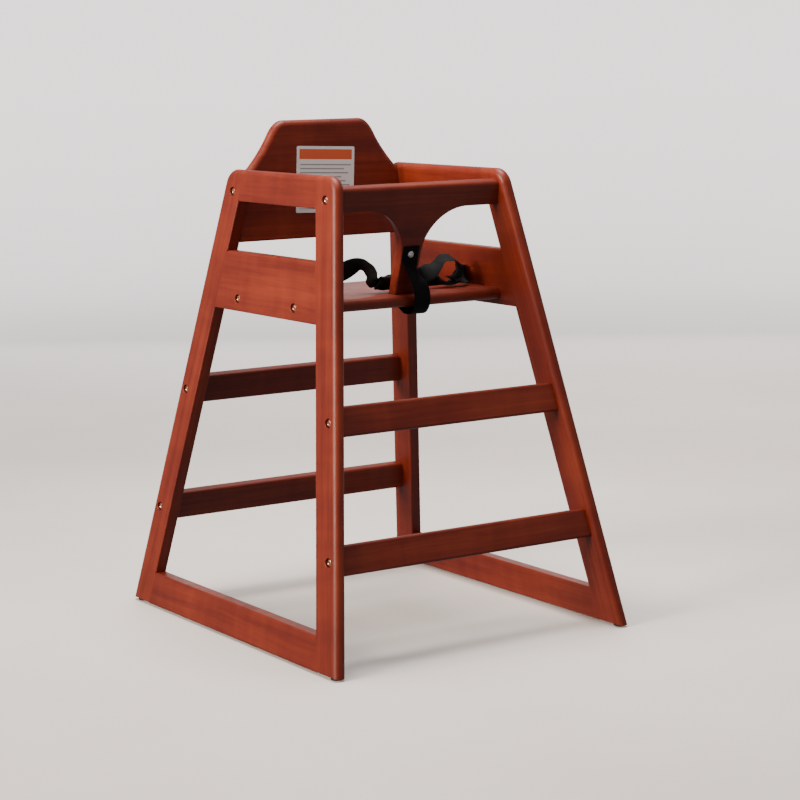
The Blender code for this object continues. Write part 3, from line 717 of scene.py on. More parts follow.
def backrest_side():
    shoulder = (inner_x(BACKREST_SHOULDER), BACKREST_SHOULDER)
    waist = BACKREST_WAIST
    crest = (BACKREST_CREST_HALF, CREST_HEIGHT)
    flare = bezier(
        shoulder,
        (shoulder[0] - 0.014, shoulder[1] + 0.014),
        (waist[0] + 0.0080, waist[1] - 0.0150),
        waist,
        14,
    )
    corner = bezier(
        waist,
        (waist[0] - 0.0065, waist[1] + 0.0125),
        (crest[0] + 0.0130, crest[1]),
        crest,
        14,
    )
    side = [(None, BACKREST_UNDERSIDE, 0.0), (None, BACKREST_SHOULDER, ROUND)]
    return side + [(x, z, ROUND) for x, z in flare + corner]


def make_backrest(shop):
    side = backrest_side()
    radii = [radius for _, _, radius in side]
    radii += radii[::-1][1:] + [EASED]
    caps = []
    for offset in (-BACKREST_THICKNESS / 2, BACKREST_THICKNESS / 2):
        half = [(inner_x(z) if x is None else x, z) for x, z, _ in side]
        outline = half + [(-x, z) for x, z in reversed(half)]
        caps.append([(x, BACKREST_Y + offset, z) for x, z in outline])
    shop.prism("backrest", *caps, radii, (1, 0, 0), (0, -1, 0))


def panel_point(x, rise, depth):
    y = PANEL_BOLT_Y - rise * math.sin(PANEL_TILT) + depth * math.cos(PANEL_TILT)
    z = PANEL_BOLT_Z + rise * math.cos(PANEL_TILT) + depth * math.sin(PANEL_TILT)
    return (x, y, z)


def panel_side(depth):
    foot = (SEAT_TOP + HAIR - PANEL_BOLT_Z - depth * math.sin(PANEL_TILT)) / math.cos(PANEL_TILT)
    radius = STEM_ARCH_RADIUS
    centre = (STEM_HALF_WIDTH + radius, -PANEL_BAR_BELOW - radius)
    steps = 24
    side = [(STEM_HALF_WIDTH, foot, EASED)]
    for i in range(steps + 1):
        angle = math.pi - i * math.pi / 2 / steps
        x = centre[0] + radius * math.cos(angle)
        rise = centre[1] + radius * math.sin(angle)
        side.append((x, rise, EASED))
    for rise, rim in ((-PANEL_BAR_BELOW, 0.0), (PANEL_BAR_ABOVE, PANEL_TOP_ROUND)):
        end = inner_x(panel_point(0, rise, depth)[2])
        side.append((end, rise, rim))
    return side


def make_front_panel(shop):
    caps = []
    for depth in (-PANEL_THICKNESS / 2, PANEL_THICKNESS / 2):
        half = panel_side(depth)
        outline = half + [(-x, rise, 0) for x, rise, _ in reversed(half)]
        caps.append([panel_point(x, rise, depth) for x, rise, _ in outline])
    radii = [radius for _, _, radius in panel_side(0.0)]
    radii += radii[::-1][1:] + [0.0]
    facing = (0, -math.cos(PANEL_TILT), -math.sin(PANEL_TILT))
    shop.prism("front_panel", *caps, radii, (1, 0, 0), facing)


def bar_axes(end):
    rake = math.atan(RAKE * SLANT)
    up = Vector((0, -end * math.sin(rake), math.cos(rake)))
    rear = Vector((0, math.cos(rake), end * math.sin(rake)))
    return up, rear


def bar_centre(end, level):
    return Vector((0, end * (leg_edge(level * SLANT) - BAR_INSET), level))


def make_bar(shop, name, end, level):
    up, rear = bar_axes(end)
    centre = bar_centre(end, level)
    caps = []
    for side in SIDES.values():
        cap = []
        for along_up, along_rear in ((-1, -1), (1, -1), (1, 1), (-1, 1)):
            point = centre + up * along_up * BAR_HEIGHT / 2 + rear * along_rear * BAR_THICKNESS / 2
            cap.append((side * inner_x(point.z), point.y, point.z))
        caps.append(cap)
    bar = shop.prism(name, *caps, (0, 0, 0, 0), (1, 0, 0), rear)
    weights = bar.data.attributes["bevel_weight_edge"]
    for edge in bar.data.edges:
        first, second = (bar.data.vertices[i].co for i in edge.vertices)
        if first.x * second.x < 0:
            weights.data[edge.index].value = SOFT_EASED / ROUND


# -------------------------------------------------------------- fasteners


def dowel_axis(up):
    up = Vector(up).normalized()
    across = Vector((1, 0, 0))
    third = up.cross(across)
    return Matrix((up, third, across)).transposed().to_4x4()


def joint_table():
    """(name, frame board, cross board, side, y, z, way that the dowel faces)."""
    table = []
    for word, side in SIDES.items():
        for end_word, end in ENDS.items():
            leg = f"{word}_{end_word}_leg"
            for level_word, level in BAR_LEVELS.items():
                bar = f"{end_word}_{level_word}_bar"
                centre = bar_centre(end, level)
                facing = bar_axes(end)[1]
                table.append((f"{word}_{bar}", leg, bar, side, centre.y, centre.z, facing))
            panel = f"{word}_side_panel"
            name = f"{word}_{end_word}_seat"
            table.append((name, panel, "seat", side, end * SEAT_BOLT_Y, SEAT_BOLT_Z, (0, 0, -1)))
        facing = (0, math.cos(PANEL_TILT), math.sin(PANEL_TILT))
        leg = f"{word}_front_leg"
        table.append((f"{word}_front_panel", leg, "front_panel", side, PANEL_BOLT_Y, PANEL_BOLT_Z, facing))
        leg = f"{word}_rear_leg"
        table.append((f"{word}_backrest", leg, "backrest", side, BACKREST_Y, BACKREST_BOLT_Z, (0, 1, 0)))
    return table


def bolt_mesh(material):
    """Cap bolt with a crowned, rounded head and a chamfered hex socket."""
    head = HEAD_RADIUS
    profile = (
        (0.0034, 0.0004),
        (0.0030, 0.0021, "hex"),
        (0.0006, 0.0021, "hex"),
        (0.0001, 0.0026),
        (-0.0001, 0.0029),
        (0.0000, 0.0036),
        (0.0003, 0.0044),
        (0.0008, head - 0.0003),
        (0.0014, head),
        (HEAD_HEIGHT, head),
        (HEAD_HEIGHT + 0.0001, 0.0030),
        (0.0520, 0.0030),
        (0.0530, 0.0022),
    )
    mesh = turned("bolt", profile, 48)
    paint(mesh, material)
    return mesh


def dowel_mesh(material):
    half = DOWEL_LENGTH / 2
    profile = (
        (-half, DOWEL_RADIUS - 0.0006),
        (-half + 0.0004, DOWEL_RADIUS - 0.0001),
        (-half + 0.0008, DOWEL_RADIUS),
        (half - 0.0008, DOWEL_RADIUS),
        (half - 0.0003, DOWEL_RADIUS - 0.0002),
        (half, DOWEL_RADIUS - 0.0008),
    )
    dowel = link("dowel_blank", turned("dowel_blank", profile, 40), material)
    work = bmesh.new()
    bmesh.ops.create_cube(work, size=1.0, matrix=Matrix.Diagonal((0.0032, 0.0011, 0.0140, 1)))
    slot = link("slot", made(work, "slot"))
    slot.location.x = half
    bpy.context.view_layer.update()
    mesh = applied(dowel, [slot])
    smooth(mesh, 30)
    paint(mesh, material)
    bpy.data.objects.remove(slot)
    bpy.data.objects.remove(dowel)
    return mesh


def make_fasteners(shop, bronze, zinc):
    bolt = bolt_mesh(bronze)
    dowel = dowel_mesh(zinc)
    seat = HEAD_RECESS + HEAD_HEIGHT + 0.0002
    counterbore = turned(
        "counterbore",
        ((-0.01, 0.0078), (-0.0004, 0.0078), (0.0004, COUNTERBORE_RADIUS), (seat, COUNTERBORE_RADIUS)),
        48,
    )
    bore = turned("bore", ((-DOWEL_BORE_PAST_BOLT, DOWEL_BORE_RADIUS), (0.02, DOWEL_BORE_RADIUS)), 48)
    for name, frame_board, cross_board, side, y, z, facing in joint_table():
        inwards = (-side, 0, 0)
        face = Vector((side * outer_x(z), y, z))
        tool = link(f"{name}_counterbore", counterbore)
        tool.matrix_world = along_axis(face, inwards)
        shop.drill(frame_board, tool)
        piece = link(f"{name}_cap_bolt", bolt)
        piece.matrix_world = along_axis(face - Vector((side * HEAD_RECESS, 0, 0)), inwards)
        piece.matrix_world @= Matrix.Rotation(0.7 * (len(name) + y * 40), 4, "X")
        mounted(piece, "chair", f"{name}_bolt", slot="bronzed_steel")
        middle = face - Vector((side * (FRAME_ACROSS + DOWEL_INSET), 0, 0))
        place = Matrix.Translation(middle) @ dowel_axis(facing)
        tool = link(f"{name}_bore", bore)
        tool.matrix_world = place
        shop.drill(cross_board, tool)
        piece = link(f"{name}_cross_dowel", dowel)
        piece.matrix_world = place
        mounted(piece, "chair", f"{name}_dowel", slot="zinc_steel")


def make_glides(rubber):
    profile = (
        (0.0, 0.0046),
        (0.0002, 0.0056),
        (0.0008, 0.0066),
        (0.0014, 0.0069),
        (0.0024, 0.0070),
        (0.0028, 0.0068),
    )
    mesh = turned("glide_pad", profile, 40)
    paint(mesh, rubber)
    middle = outer_x(GLIDE_HEIGHT) - FRAME_ACROSS / 2
    for word, side in SIDES.items():
        for end_word, end in ENDS.items():
            place = (side * middle, end * (FLOOR_DEPTH / 2 - GLIDE_INSET), 0)
            name = f"{word}_{end_word}_glide"
            piece = link(f"{name}_pad", mesh)
            piece.matrix_world = along_axis(place, (0, 0, 1))
            mounted(piece, "chair", name, slot="black_rubber")


# ---------------------------------------------------------------- harness


def smooth_path(points, reach):
    """Catmull-Rom curve through rows of numbers, in steps of about reach."""
    padded = [points[0]] + list(points) + [points[-1]]
    path = []
    for i in range(len(points) - 1):
        p0, p1, p2, p3 = padded[i : i + 4]
        steps = max(2, math.ceil((Vector(p2[:3]) - Vector(p1[:3])).length / reach))
        for j in range(steps):
            t = j / steps
            row = []
            for a, b, c, d in zip(p0, p1, p2, p3):
                curve = (2 * a - 5 * b + 4 * c - d) * t * t + (3 * b - a - 3 * c + d) * t**3
                row.append(0.5 * (2 * b + (c - a) * t + curve))
            path.append(tuple(row))
    path.append(tuple(points[-1]))
    return path


class Strap:
    """Webbing along a path; each point has the direction of the strap's width."""

    def __init__(self, points, reach=0.0011):
        path = smooth_path([(*place, *width) for place, width in points], reach)
        self.stations = []
        arc = 0.0
        for i, row in enumerate(path):
            here = Vector(row[:3])
            before = Vector(path[max(i - 1, 0)][:3])
            after = Vector(path[min(i + 1, len(path) - 1)][:3])
            ahead = (after - before).normalized()
            width = Vector(row[3:])
            width = (width - ahead * ahead.dot(width)).normalized()
            if i:
                arc += (here - self.stations[-1][1]).length
            self.stations.append((arc, here, width, ahead.cross(width).normalized()))
        self.length = arc

    def at(self, arc, across, out):
        """A point on or off the strap, and the direction of its face there."""
        for first, second in zip(self.stations, self.stations[1:]):
            if arc <= second[0] or second is self.stations[-1]:
                share = (arc - first[0]) / (second[0] - first[0])
                here, width, face = (a.lerp(b, share) for a, b in zip(first[1:], second[1:]))
                return here + width * across + face * out, face.normalized()

    def section(self, arc):
        """(across, out) round the webbing: thin, with a rounded, raised selvedge."""
        columns = 16
        end = min(arc, self.length - arc)
        swell = 1.0 + 0.22 * max(0.0, 1 - abs(end - 0.0008) / 0.0010)
        front = []
        for i in range(columns + 1):
            share = -1 + 2 * i / columns
            rise = (1 - abs(share) ** 14) ** 0.5
            if 0.80 < abs(share) < 0.95:
                rise *= 1.10
            front.append((share * WEB_WIDTH / 2, rise * swell * WEB_THICKNESS * 0.45))
        return front + [(across, -out) for across, out in reversed(front[1:-1])]

    def mesh(self, name, material):
        work = bmesh.new()
        layer = work.loops.layers.uv.new("webbing")
        loops = []
        for arc, here, width, face in self.stations:
            slack = 0.00016 * math.sin(arc * 310) + 0.00010 * math.sin(arc * 97 + 1.3)
            loop = []
            for across, out in self.section(arc):
                place = here + width * across + face * (out + slack)
                loop.append((work.verts.new(place), arc, across))
            loops.append(loop)
        for first, second in zip(loops, loops[1:]):
            for i, start in enumerate(first):
                j = (i + 1) % len(first)
                corners = (start, first[j], second[j], second[i])
                self.patch(work, layer, corners)
        self.patch(work, layer, loops[0])
        self.patch(work, layer, loops[-1])
        mesh = made(work, name)
        smooth(mesh, 60)
        paint(mesh, material)
        return mesh

    def patch(self, work, layer, corners):
        face = work.faces.new([vert for vert, _, _ in corners])
        for loop, (_, arc, across) in zip(face.loops, corners):
            loop[layer].uv = (arc, across)


def add_stitch(work, strap, start, end, side):
    """One thread laid on the webbing from start to end, each (along, across)."""
    rings = []
    for share, rise in ((0.0, -0.00010), (0.18, 0.00024), (0.82, 0.00024), (1.0, -0.00010)):
        along = start[0] + (end[0] - start[0]) * share
        across = start[1] + (end[1] - start[1]) * share
        here, face = strap.at(along, across, side * (WEB_THICKNESS * 0.45 + rise))
        rings.append((here, face))
    run = (rings[-1][0] - rings[0][0]).normalized()
    loops = []
    for here, face in rings:
        beside = run.cross(face).normalized()
        loop = []
        for i in range(6):
            angle = math.pi * i / 3
            spread = beside * math.cos(angle) * 0.00030 + face * math.sin(angle) * 0.00022
            loop.append(work.verts.new(here + spread))
        loops.append(loop)
    skin(work, loops)


def stitching(name, strap, lines, material, pitch=0.0027):
    """Rows of stitches on both faces; each line is (start, end) in (along, across)."""
    work = bmesh.new()
    for start, end in lines:
        count = max(1, round(math.dist(start, end) / pitch))
        for i in range(count):
            spots = []
            for share in ((i + 0.12) / count, (i + 0.88) / count):
                spots.append([a + (b - a) * share for a, b in zip(start, end)])
            for side in (-1, 1):
                add_stitch(work, strap, *spots, side)
    mesh = made(work, name)
    smooth(mesh, 80)
    return link(name, mesh, material)


def box_stitch(start, end, inset=0.0040):
    """A sewn box with its two diagonals."""
    low, high = inset - WEB_WIDTH / 2, WEB_WIDTH / 2 - inset
    corners = ((start, low), (end, low), (end, high), (start, high))
    lines = [(corners[i], corners[(i + 1) % 4]) for i in range(4)]
    return lines + [(corners[0], corners[2]), (corners[1], corners[3])]


def cross_rows(*places, inset=0.0030):
    reach = WEB_WIDTH / 2 - inset
    return [((place, -reach), (place, reach)) for place in places]


def stem_front(x, z, clear):
    """A point in front of the front panel's stem, clear of its face."""
    depth = -PANEL_THICKNESS / 2 - clear
    rise = (z - PANEL_BOLT_Z - depth * math.sin(PANEL_TILT)) / math.cos(PANEL_TILT)
    return panel_point(x, rise, depth)


def belt_frame():
    """Local axes of the buckle: X along the belt, Y its thickness, Z its width."""
    middle = Matrix.Translation((0, BELT_Y, BUCKLE_Z))
    return middle @ Matrix.Rotation(-BUCKLE_LEAN, 4, "X")


def belt_row(x, y):
    across = (0, math.sin(BUCKLE_LEAN), math.cos(BUCKLE_LEAN))
    return (tuple(belt_frame() @ Vector((x, y, 0))), across)


def crotch_points():
    """Hangs from its screw, over the seat's front edge and back under it."""
    clear = WEB_THICKNESS / 2 + GAP
    under = SEAT_TOP - SEAT_THICKNESS - clear
    flat = (1, 0, 0)
    return (
        (stem_front(-0.0020, 0.5730, clear), flat),
        (stem_front(-0.0018, 0.5600, clear), flat),
        (stem_front(-0.0016, 0.5540, clear), flat),
        (stem_front(-0.0015, 0.5490, clear + 0.0010), (1, 0.06, 0)),
        (stem_front(-0.0008, 0.5400, clear + 0.0064), (1, 0.40, 0)),
        ((0.0040, -0.1188, 0.5290), (1, 0.42, 0.05)),
        ((0.0082, -0.1232, 0.5180), (1, 0.18, 0.10)),
        ((0.0122, -0.1248, 0.5050), (1, 0, 0.08)),
        ((0.0132, -0.1244, 0.4910), flat),
        ((0.0130, -0.1200, 0.4800), flat),
        ((0.0122, -0.1110, 0.4730), flat),
        ((CROTCH_END_X, -0.0980, 0.4730), flat),
        ((CROTCH_END_X, -0.0850, under - 0.0030), flat),
        ((CROTCH_END_X, -0.0720, under), flat),
        ((CROTCH_END_X, -0.0520, under), flat),
    )


def anchor_x():
    return inner_x(ANCHOR_Z, GAP) - WEB_THICKNESS / 2 * SLANT


def anchor_rows(side):
    """A waist strap's end, flat on the inner face of its side panel."""
    upright = (-side * math.tan(LEAN), 0, 1)
    rows = ((0.0, -0.0040), (0.0, -0.0210), (0.0004, -0.0260))
    return [((side * (anchor_x() - off), y, ANCHOR_Z), upright) for off, y in rows]


def right_points():
    """From its side panel over a hump to the socket, round its bar and back."""
    wall = anchor_x()
    along = [
        *anchor_rows(-1),
        ((-wall + 0.0060, -0.0370, ANCHOR_Z + 0.0006), (math.tan(LEAN), 0, 1)),
        ((-0.1350, -0.0420, 0.5200), (0, 0, 1)),
        ((-0.1080, -0.0450, 0.5265), (0, 0, 1)),
        ((-0.0860, -0.0470, 0.5320), (0, -0.05, 1)),
        ((-0.0738, -0.0480, 0.5360), (0, -0.12, 0.99)),
        ((-0.0647, -0.0500, 0.5405), (0, -0.25, 0.97)),
        ((-0.0557, -0.0525, 0.5434), (0, -0.48, 0.87)),
        ((-0.0490, -0.0545, 0.5440), (0.05, -0.72, 0.70)),
        ((-0.0430, -0.0565, 0.5420), (0.08, -0.90, 0.42)),
        ((-0.0375, -0.0585, 0.5375), (0.08, -0.94, 0.32)),
        ((-0.0338, -0.0602, 0.5300), (0.05, -0.91, 0.40)),
        ((-0.0328, -0.0612, 0.5220), (0, -0.80, 0.60)),
    ]
    bar = SOCKET_BACK_X + 0.0015
    turn = [(-0.0050, 0.0016), (-0.0018, 0.0025), (0.0012, 0.0025), (0.0030, 0.0014)]
    around = turn + [(0.0034, 0.0)] + [(x, -y) for x, y in reversed(turn[1:])]
    return along + [belt_row(bar + x, y) for x, y in around]


def left_points():
    """From its side panel to the plug, round its bar and up in a free tail."""
    wall = anchor_x()
    strand = [
        *anchor_rows(1),
        ((wall - 0.0060, -0.0370, ANCHOR_Z + 0.0006), (-0.05, 0.10, 0.99)),
        ((0.1380, -0.0480, 0.5150), (0.05, 0.62, 0.78)),
        ((0.1290, -0.0530, 0.5105), (0, 0.90, 0.42)),
        ((0.1150, -0.0570, 0.5080), (0.10, 0.98, 0.02)),
        ((0.1000, -0.0580, 0.5085), (0, 0.95, 0.30)),
        ((0.0850, -0.0560, 0.5150), (0, 0.72, 0.70)),
        ((0.0700, -0.0545, 0.5170), (0, 0.55, 0.83)),
        ((0.0600, -0.0540, 0.5178), (0, 0.35, 0.94)),
        ((0.0500, -0.0560, 0.5180), (0, -0.10, 1)),
    ]
    bar = PLUG_END_X - 0.0018
    turn = [(0.0070, 0.0030), (0.0020, 0.0026), (-0.0012, 0.0025), (-0.0030, 0.0014)]
    around = turn + [(-0.0035, 0.0)] + [(x, -y) for x, y in reversed(turn)]
    tail = [
        ((0.0500, -0.0640, 0.5205), (0, -0.10, 1)),
        ((0.0600, -0.0625, 0.5235), (-0.10, 0.35, 0.93)),
        ((0.0710, -0.0610, 0.5290), (-0.25, 0.70, 0.67)),
        ((0.0821, -0.0600, 0.5361), (-0.10, 0.97, 0.20)),
        ((0.0895, -0.0600, 0.5424), (0, 0.99, 0.10)),
        ((0.1000, -0.0600, 0.5463), (0, 0.94, 0.33)),
        ((0.1110, -0.0600, 0.5450), (0.12, 0.94, 0.28)),
        ((0.1207, -0.0600, 0.5385), (0.28, 0.95, 0.10)),
        ((0.1256, -0.0600, 0.5303), (0.32, 0.95, 0)),
        ((0.1255, -0.0600, 0.5225), (0.25, 0.96, 0.05)),
        ((0.1195, -0.0600, 0.5160), (0.10, 0.97, 0.15)),
        ((0.1090, -0.0600, 0.5138), (0, 0.97, 0.20)),
    ]
    return strand + [belt_row(bar + x, y) for x, y in around] + tail


def follow_plug(piece):
    """Bakes the piece's placement into its mesh."""
    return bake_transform(piece)


def box_tool(name, low, high, radius=0.0):
    work = bmesh.new()
    bmesh.ops.create_cube(work, size=1.0)
    middle = [(a + b) / 2 for a, b in zip(low, high)]
    for vert in work.verts:
        vert.co = [m + c * (b - a) for m, c, a, b in zip(middle, vert.co, low, high)]
    if radius:
        bmesh.ops.bevel(work, geom=work.edges[:], offset=radius, segments=3, affect="EDGES", profile=0.5)
    return link(name, made(work, name))


def lofted(name, stations, power=5.0, sides=48):
    """Rounded-box rings from (x, half thickness, half width), joined along X."""
    work = bmesh.new()
    rings = []
    for x, thick, wide in stations:
        ring = []
        for i in range(sides):
            angle = 2 * math.pi * (i + 0.5) / sides
            c, s = math.cos(angle), math.sin(angle)
            y = thick * math.copysign(abs(c) ** (2 / power), c)
            z = wide * math.copysign(abs(s) ** (2 / power), s)
            ring.append(work.verts.new((x, y, z)))
        rings.append(ring)
    skin(work, rings)
    return link(name, made(work, name))


def carved(piece, tools):
    applied(piece, tools)
    for tool in tools:
        bpy.data.objects.remove(tool)


def joined(piece, extras):
    """Adds closed shells, such as moulded ribs, to the piece's own mesh."""
    work = bmesh.new()
    work.from_mesh(piece.data)
    for extra in extras:
        work.from_mesh(extra.data)
        bpy.data.objects.remove(extra)
    work.to_mesh(piece.data)
    work.free()


def moulded_ribs(places, face, reach):
    """Low rounded grip ribs across both broad faces."""
    ribs = []
    for place in places:
        for side in (-1, 1):
            stations = (
                (-0.00050, 0.00012, reach - 0.0008),
                (-0.00030, 0.00034, reach - 0.0002),
                (0.00030, 0.00034, reach - 0.0002),
                (0.00050, 0.00012, reach - 0.0008),
            )
            rib = lofted("rib", stations, 3.0, 20)
            rib.data.transform(Matrix.Translation((place, side * face, 0)))
            ribs.append(rib)
    return ribs


def mount_moulding(piece, material, body, node):
    """Puts a finished half of the buckle in its place on the belt."""
    smooth(piece.data, 32)
    paint(piece.data, material)
    piece.matrix_world = belt_frame()
    mounted(piece, body, node, slot="black_plastic")


def make_socket(material):
    """Buckle half with a strap bar, two side windows and a flared mouth."""
    half, deep = BUCKLE_WIDTH / 2, BUCKLE_THICKNESS / 2
    back = SOCKET_BACK_X
    stations = (
        (back, 0.0010, half - 0.0022),
        (back + 0.0006, 0.0016, half - 0.0014),
        (back + 0.0028, 0.0017, half - 0.0006),
        (back + 0.0070, 0.0026, half - 0.0001),
        (back + 0.0105, 0.0044, half),
        (back + 0.0150, deep - 0.0002, half - 0.0002),
        (back + 0.0230, deep, half - 0.0007),
        (back + 0.0300, deep - 0.0001, half - 0.0007),
        (back + 0.0355, deep - 0.0001, half - 0.0001),
        (MOUTH_X - 0.0007, deep, half),
        (MOUTH_X, deep - 0.0006, half - 0.0006),
    )
    socket = lofted("buckle_socket_moulding", stations)
    start = MOUTH_X - SOCKET_CHANNEL_DEPTH
    thin, wide = CHANNEL_HALF_THICKNESS, CHANNEL_HALF_WIDTH
    slot = back + 0.0030
    reach = WEB_WIDTH / 2 + 0.0006
    outside = MOUTH_X + 0.01
    lip_thin, lip_wide = thin + 0.0006, wide + 0.0006
    tools = [
        box_tool("channel", (start, -thin, -wide), (outside, thin, wide), 0.0006),
        box_tool("mouth", (MOUTH_X - 0.0009, -lip_thin, -lip_wide), (outside, lip_thin, lip_wide), 0.0005),
        box_tool("windows", (start + 0.0030, -0.0028, -0.03), (MOUTH_X - 0.0060, 0.0028, 0.03), 0.0012),
        box_tool("slot", (slot, -0.02, -reach), (slot + STRAP_SLOT, 0.02, reach), 0.0006),
    ]
    for side in (-1, 1):
        low, high = sorted((side * (deep - 0.0005), side * (deep + 0.01)))
        corners = (back + 0.0165, low, -0.0092), (MOUTH_X - 0.0085, high, 0.0092)
        tools.append(box_tool("panel", *corners, 0.0004))
    carved(socket, tools)
    ribs = moulded_ribs((MOUTH_X - 0.0062, MOUTH_X - 0.0044, MOUTH_X - 0.0026), deep, 0.0118)
    joined(socket, ribs)
    mount_moulding(socket, material, "chair", "buckle_socket")


def arm_outline(sign):
    """One sprung arm with its thumb pad and barb, from (x, z)."""
    arm = CHANNEL_HALF_WIDTH - GAP
    tip = MOUTH_X - SOCKET_CHANNEL_DEPTH + 0.0010
    root = MOUTH_X + 0.0008
    outer = [(root, arm - 0.0012), (tip + 0.0125, arm - 0.0016), (tip + 0.0105, arm - 0.0004)]
    outer += [(tip + 0.0080, arm), (tip + 0.0040, arm), (tip + 0.0012, arm - 0.0020), (tip, arm - 0.0042)]
    inner = [(tip + 0.0012, arm - 0.0058), (tip + 0.0045, arm - 0.0044), (tip + 0.0110, arm - 0.0046)]
    inner += [(root, arm - 0.0056)]
    return [(x, sign * z) for x, z in outer + inner]


def plate(name, outline, half, rim):
    """A flat moulding with rounded rims: outline in X and Z, thickness along Y."""
    caps = [[(x, y, z) for x, z in outline] for y in (-half, half)]
    piece = link(name, slab(name, *caps))
    bevel = piece.modifiers.new("rims", "BEVEL")
    bevel.width = rim
    bevel.segments = 3
    bevel.limit_method = "ANGLE"
    bevel.angle_limit = math.radians(40)
    applied(piece)
    return piece


def make_plug(material):
    """Buckle half with two sprung arms, a middle tongue and a strap bar."""
    half = BUCKLE_WIDTH / 2
    thin = CHANNEL_HALF_THICKNESS - GAP
    tip = MOUTH_X - SOCKET_CHANNEL_DEPTH + 0.0010
    base = MOUTH_X + GAP
    stations = (
        (base, thin - 0.0003, half - 0.0005),
        (base + 0.0005, thin, half),
        (base + 0.0080, thin, half),
        (base + 0.0120, thin - 0.0008, half - 0.0003),
        (base + 0.0140, 0.0018, half - 0.0008),
        (PLUG_END_X - 0.0006, 0.0016, half - 0.0014),
        (PLUG_END_X, 0.0010, half - 0.0022),
    )
    plug = lofted("buckle_plug_moulding", stations)
    reach = WEB_WIDTH / 2 + 0.0006
    tools = []
    for start in (MOUTH_X + 0.0026, MOUTH_X + 0.0098):
        tools.append(box_tool("slot", (start, -0.02, -reach), (start + STRAP_SLOT, 0.02, reach), 0.0006))
    carved(plug, tools)
    parts = [plate("arm", arm_outline(sign), thin - 0.0004, 0.0006) for sign in (-1, 1)]
    half_tongue = ((tip + 0.0002, 0.0018), (tip + 0.0020, 0.0034), (base + 0.0010, 0.0034))
    tongue = half_tongue + tuple((x, -z) for x, z in reversed(half_tongue))
    parts.append(plate("tongue", tongue, thin - 0.0004, 0.0006))
    parts += moulded_ribs((MOUTH_X + 0.0078,), thin, 0.0100)
    joined(plug, parts)
    mount_moulding(plug, material, "plug", "buckle_plug")


def screw_piece(name, profile, reach, material):
    """A turned screw whose head has a cross recess."""
    piece = link(name, turned(name, profile, 40), material)
    top = profile[0][0]
    tools = []
    for low, high in (((-0.0006, -reach), (0.0006, reach)), ((-reach, -0.0006), (reach, 0.0006))):
        corners = (top - 0.0011, *low), (top + 0.0010, *high)
        tools.append(box_tool("recess", *corners))
    carved(piece, tools)
    smooth(piece.data, 30)
    paint(piece.data, material)
    return piece


def pan_head(radius, rise, base):
    """Profile of a crowned pan head whose underside is at base."""
    return (
        (base + rise, 0.0004),
        (base + rise - 0.00005, radius * 0.45),
        (base + rise * 0.86, radius * 0.78),
        (base + rise * 0.60, radius * 0.95),
        (base + rise * 0.25, radius),
        (base + 0.0001, radius * 0.98),
    )


def socket_head():
    """Profile of a button head with a hex socket, seated in a cup washer."""
    return (
        (0.0012, 0.0004),
        (0.0010, 0.0018, "hex"),
        (0.0027, 0.0018, "hex"),
        (0.0029, 0.0021),
        (0.0028, 0.0025),
        (0.0024, 0.0029),
        (0.0018, 0.0031),
        (0.0012, 0.0031),
    )


def cup_washer(outer, hole, rise):
    """Profile of a raised finishing washer, from its inner lip to its foot."""
    return (
        (rise, hole),
        (rise + 0.00018, hole + 0.00035),
        (rise + 0.00010, hole + 0.00075),
        (rise * 0.62, (outer + hole) / 2 + 0.0003),
        (0.00055, outer - 0.00045),
        (0.00030, outer - 0.00008),
        (0.00008, outer),
        (0.0, outer - 0.0001),
    )


def make_strap_screws(nickel):
    """The screws of the crotch strap and waist straps, and the two of the stem."""
    into_wood = Vector((0, math.cos(PANEL_TILT), math.sin(PANEL_TILT)))
    seat = Vector(stem_front(*CROTCH_SCREW, WEB_THICKNESS + 2 * GAP))
    profile = socket_head() + cup_washer(0.0052, 0.0032, 0.0014)
    profile += ((0.0, 0.0017), (-0.0130, 0.0017), (-0.0160, 0.0004))
    piece = link("crotch_strap_cup_screw", turned("crotch_strap_cup_screw", profile, 48), nickel)
    piece.matrix_world = along_axis(seat, -into_wood) @ Matrix.Rotation(0.6, 4, "X")
    mounted(piece, "chair", "crotch_strap_screw", slot="nickel_screw")
    flat = pan_head(0.0038, 0.0019, 0.0009)
    flat += ((0.0009, 0.0058), (0.0006, 0.0062), (0.0001, 0.0062), (0.0, 0.0059), (-0.0010, 0.0018))
    face = inner_x(ANCHOR_Z, GAP) - (WEB_THICKNESS * 0.95 + 0.0002) * SLANT
    for word, side in SIDES.items():
        piece = screw_piece(f"{word}_waist_strap_anchor_screw", flat, 0.0021, nickel)
        inwards = (-side * math.cos(LEAN), 0, -math.sin(LEAN))
        place = along_axis((side * face, ANCHOR_Y, ANCHOR_Z), inwards)
        piece.matrix_world = place @ Matrix.Rotation(0.35 + 0.5 * side, 4, "X")
        mounted(piece, "chair", slot="nickel_screw")
    under = SEAT_TOP - SEAT_THICKNESS
    piece = screw_piece("crotch_strap_lower_screw", flat, 0.0021, nickel)
    place = (CROTCH_END_X, CROTCH_END_SCREW_Y, under - GAP - WEB_THICKNESS * 0.95)
    piece.matrix_world = along_axis(place, (0, 0, -1))
    mounted(piece, "chair", slot="nickel_screw")
    sunk = ((0.0002, 0.0004), (0.0002, 0.0036), (0.0000, 0.0040), (-0.0010, 0.0034))
    for word, side in SIDES.items():
        piece = screw_piece(f"{word}_stem_screw", sunk, 0.0019, nickel)
        piece.matrix_world = along_axis((side * STEM_SCREW_X, STEM_SCREW_Y, under), (0, 0, -1))
        mounted(piece, "chair", slot="nickel_screw")


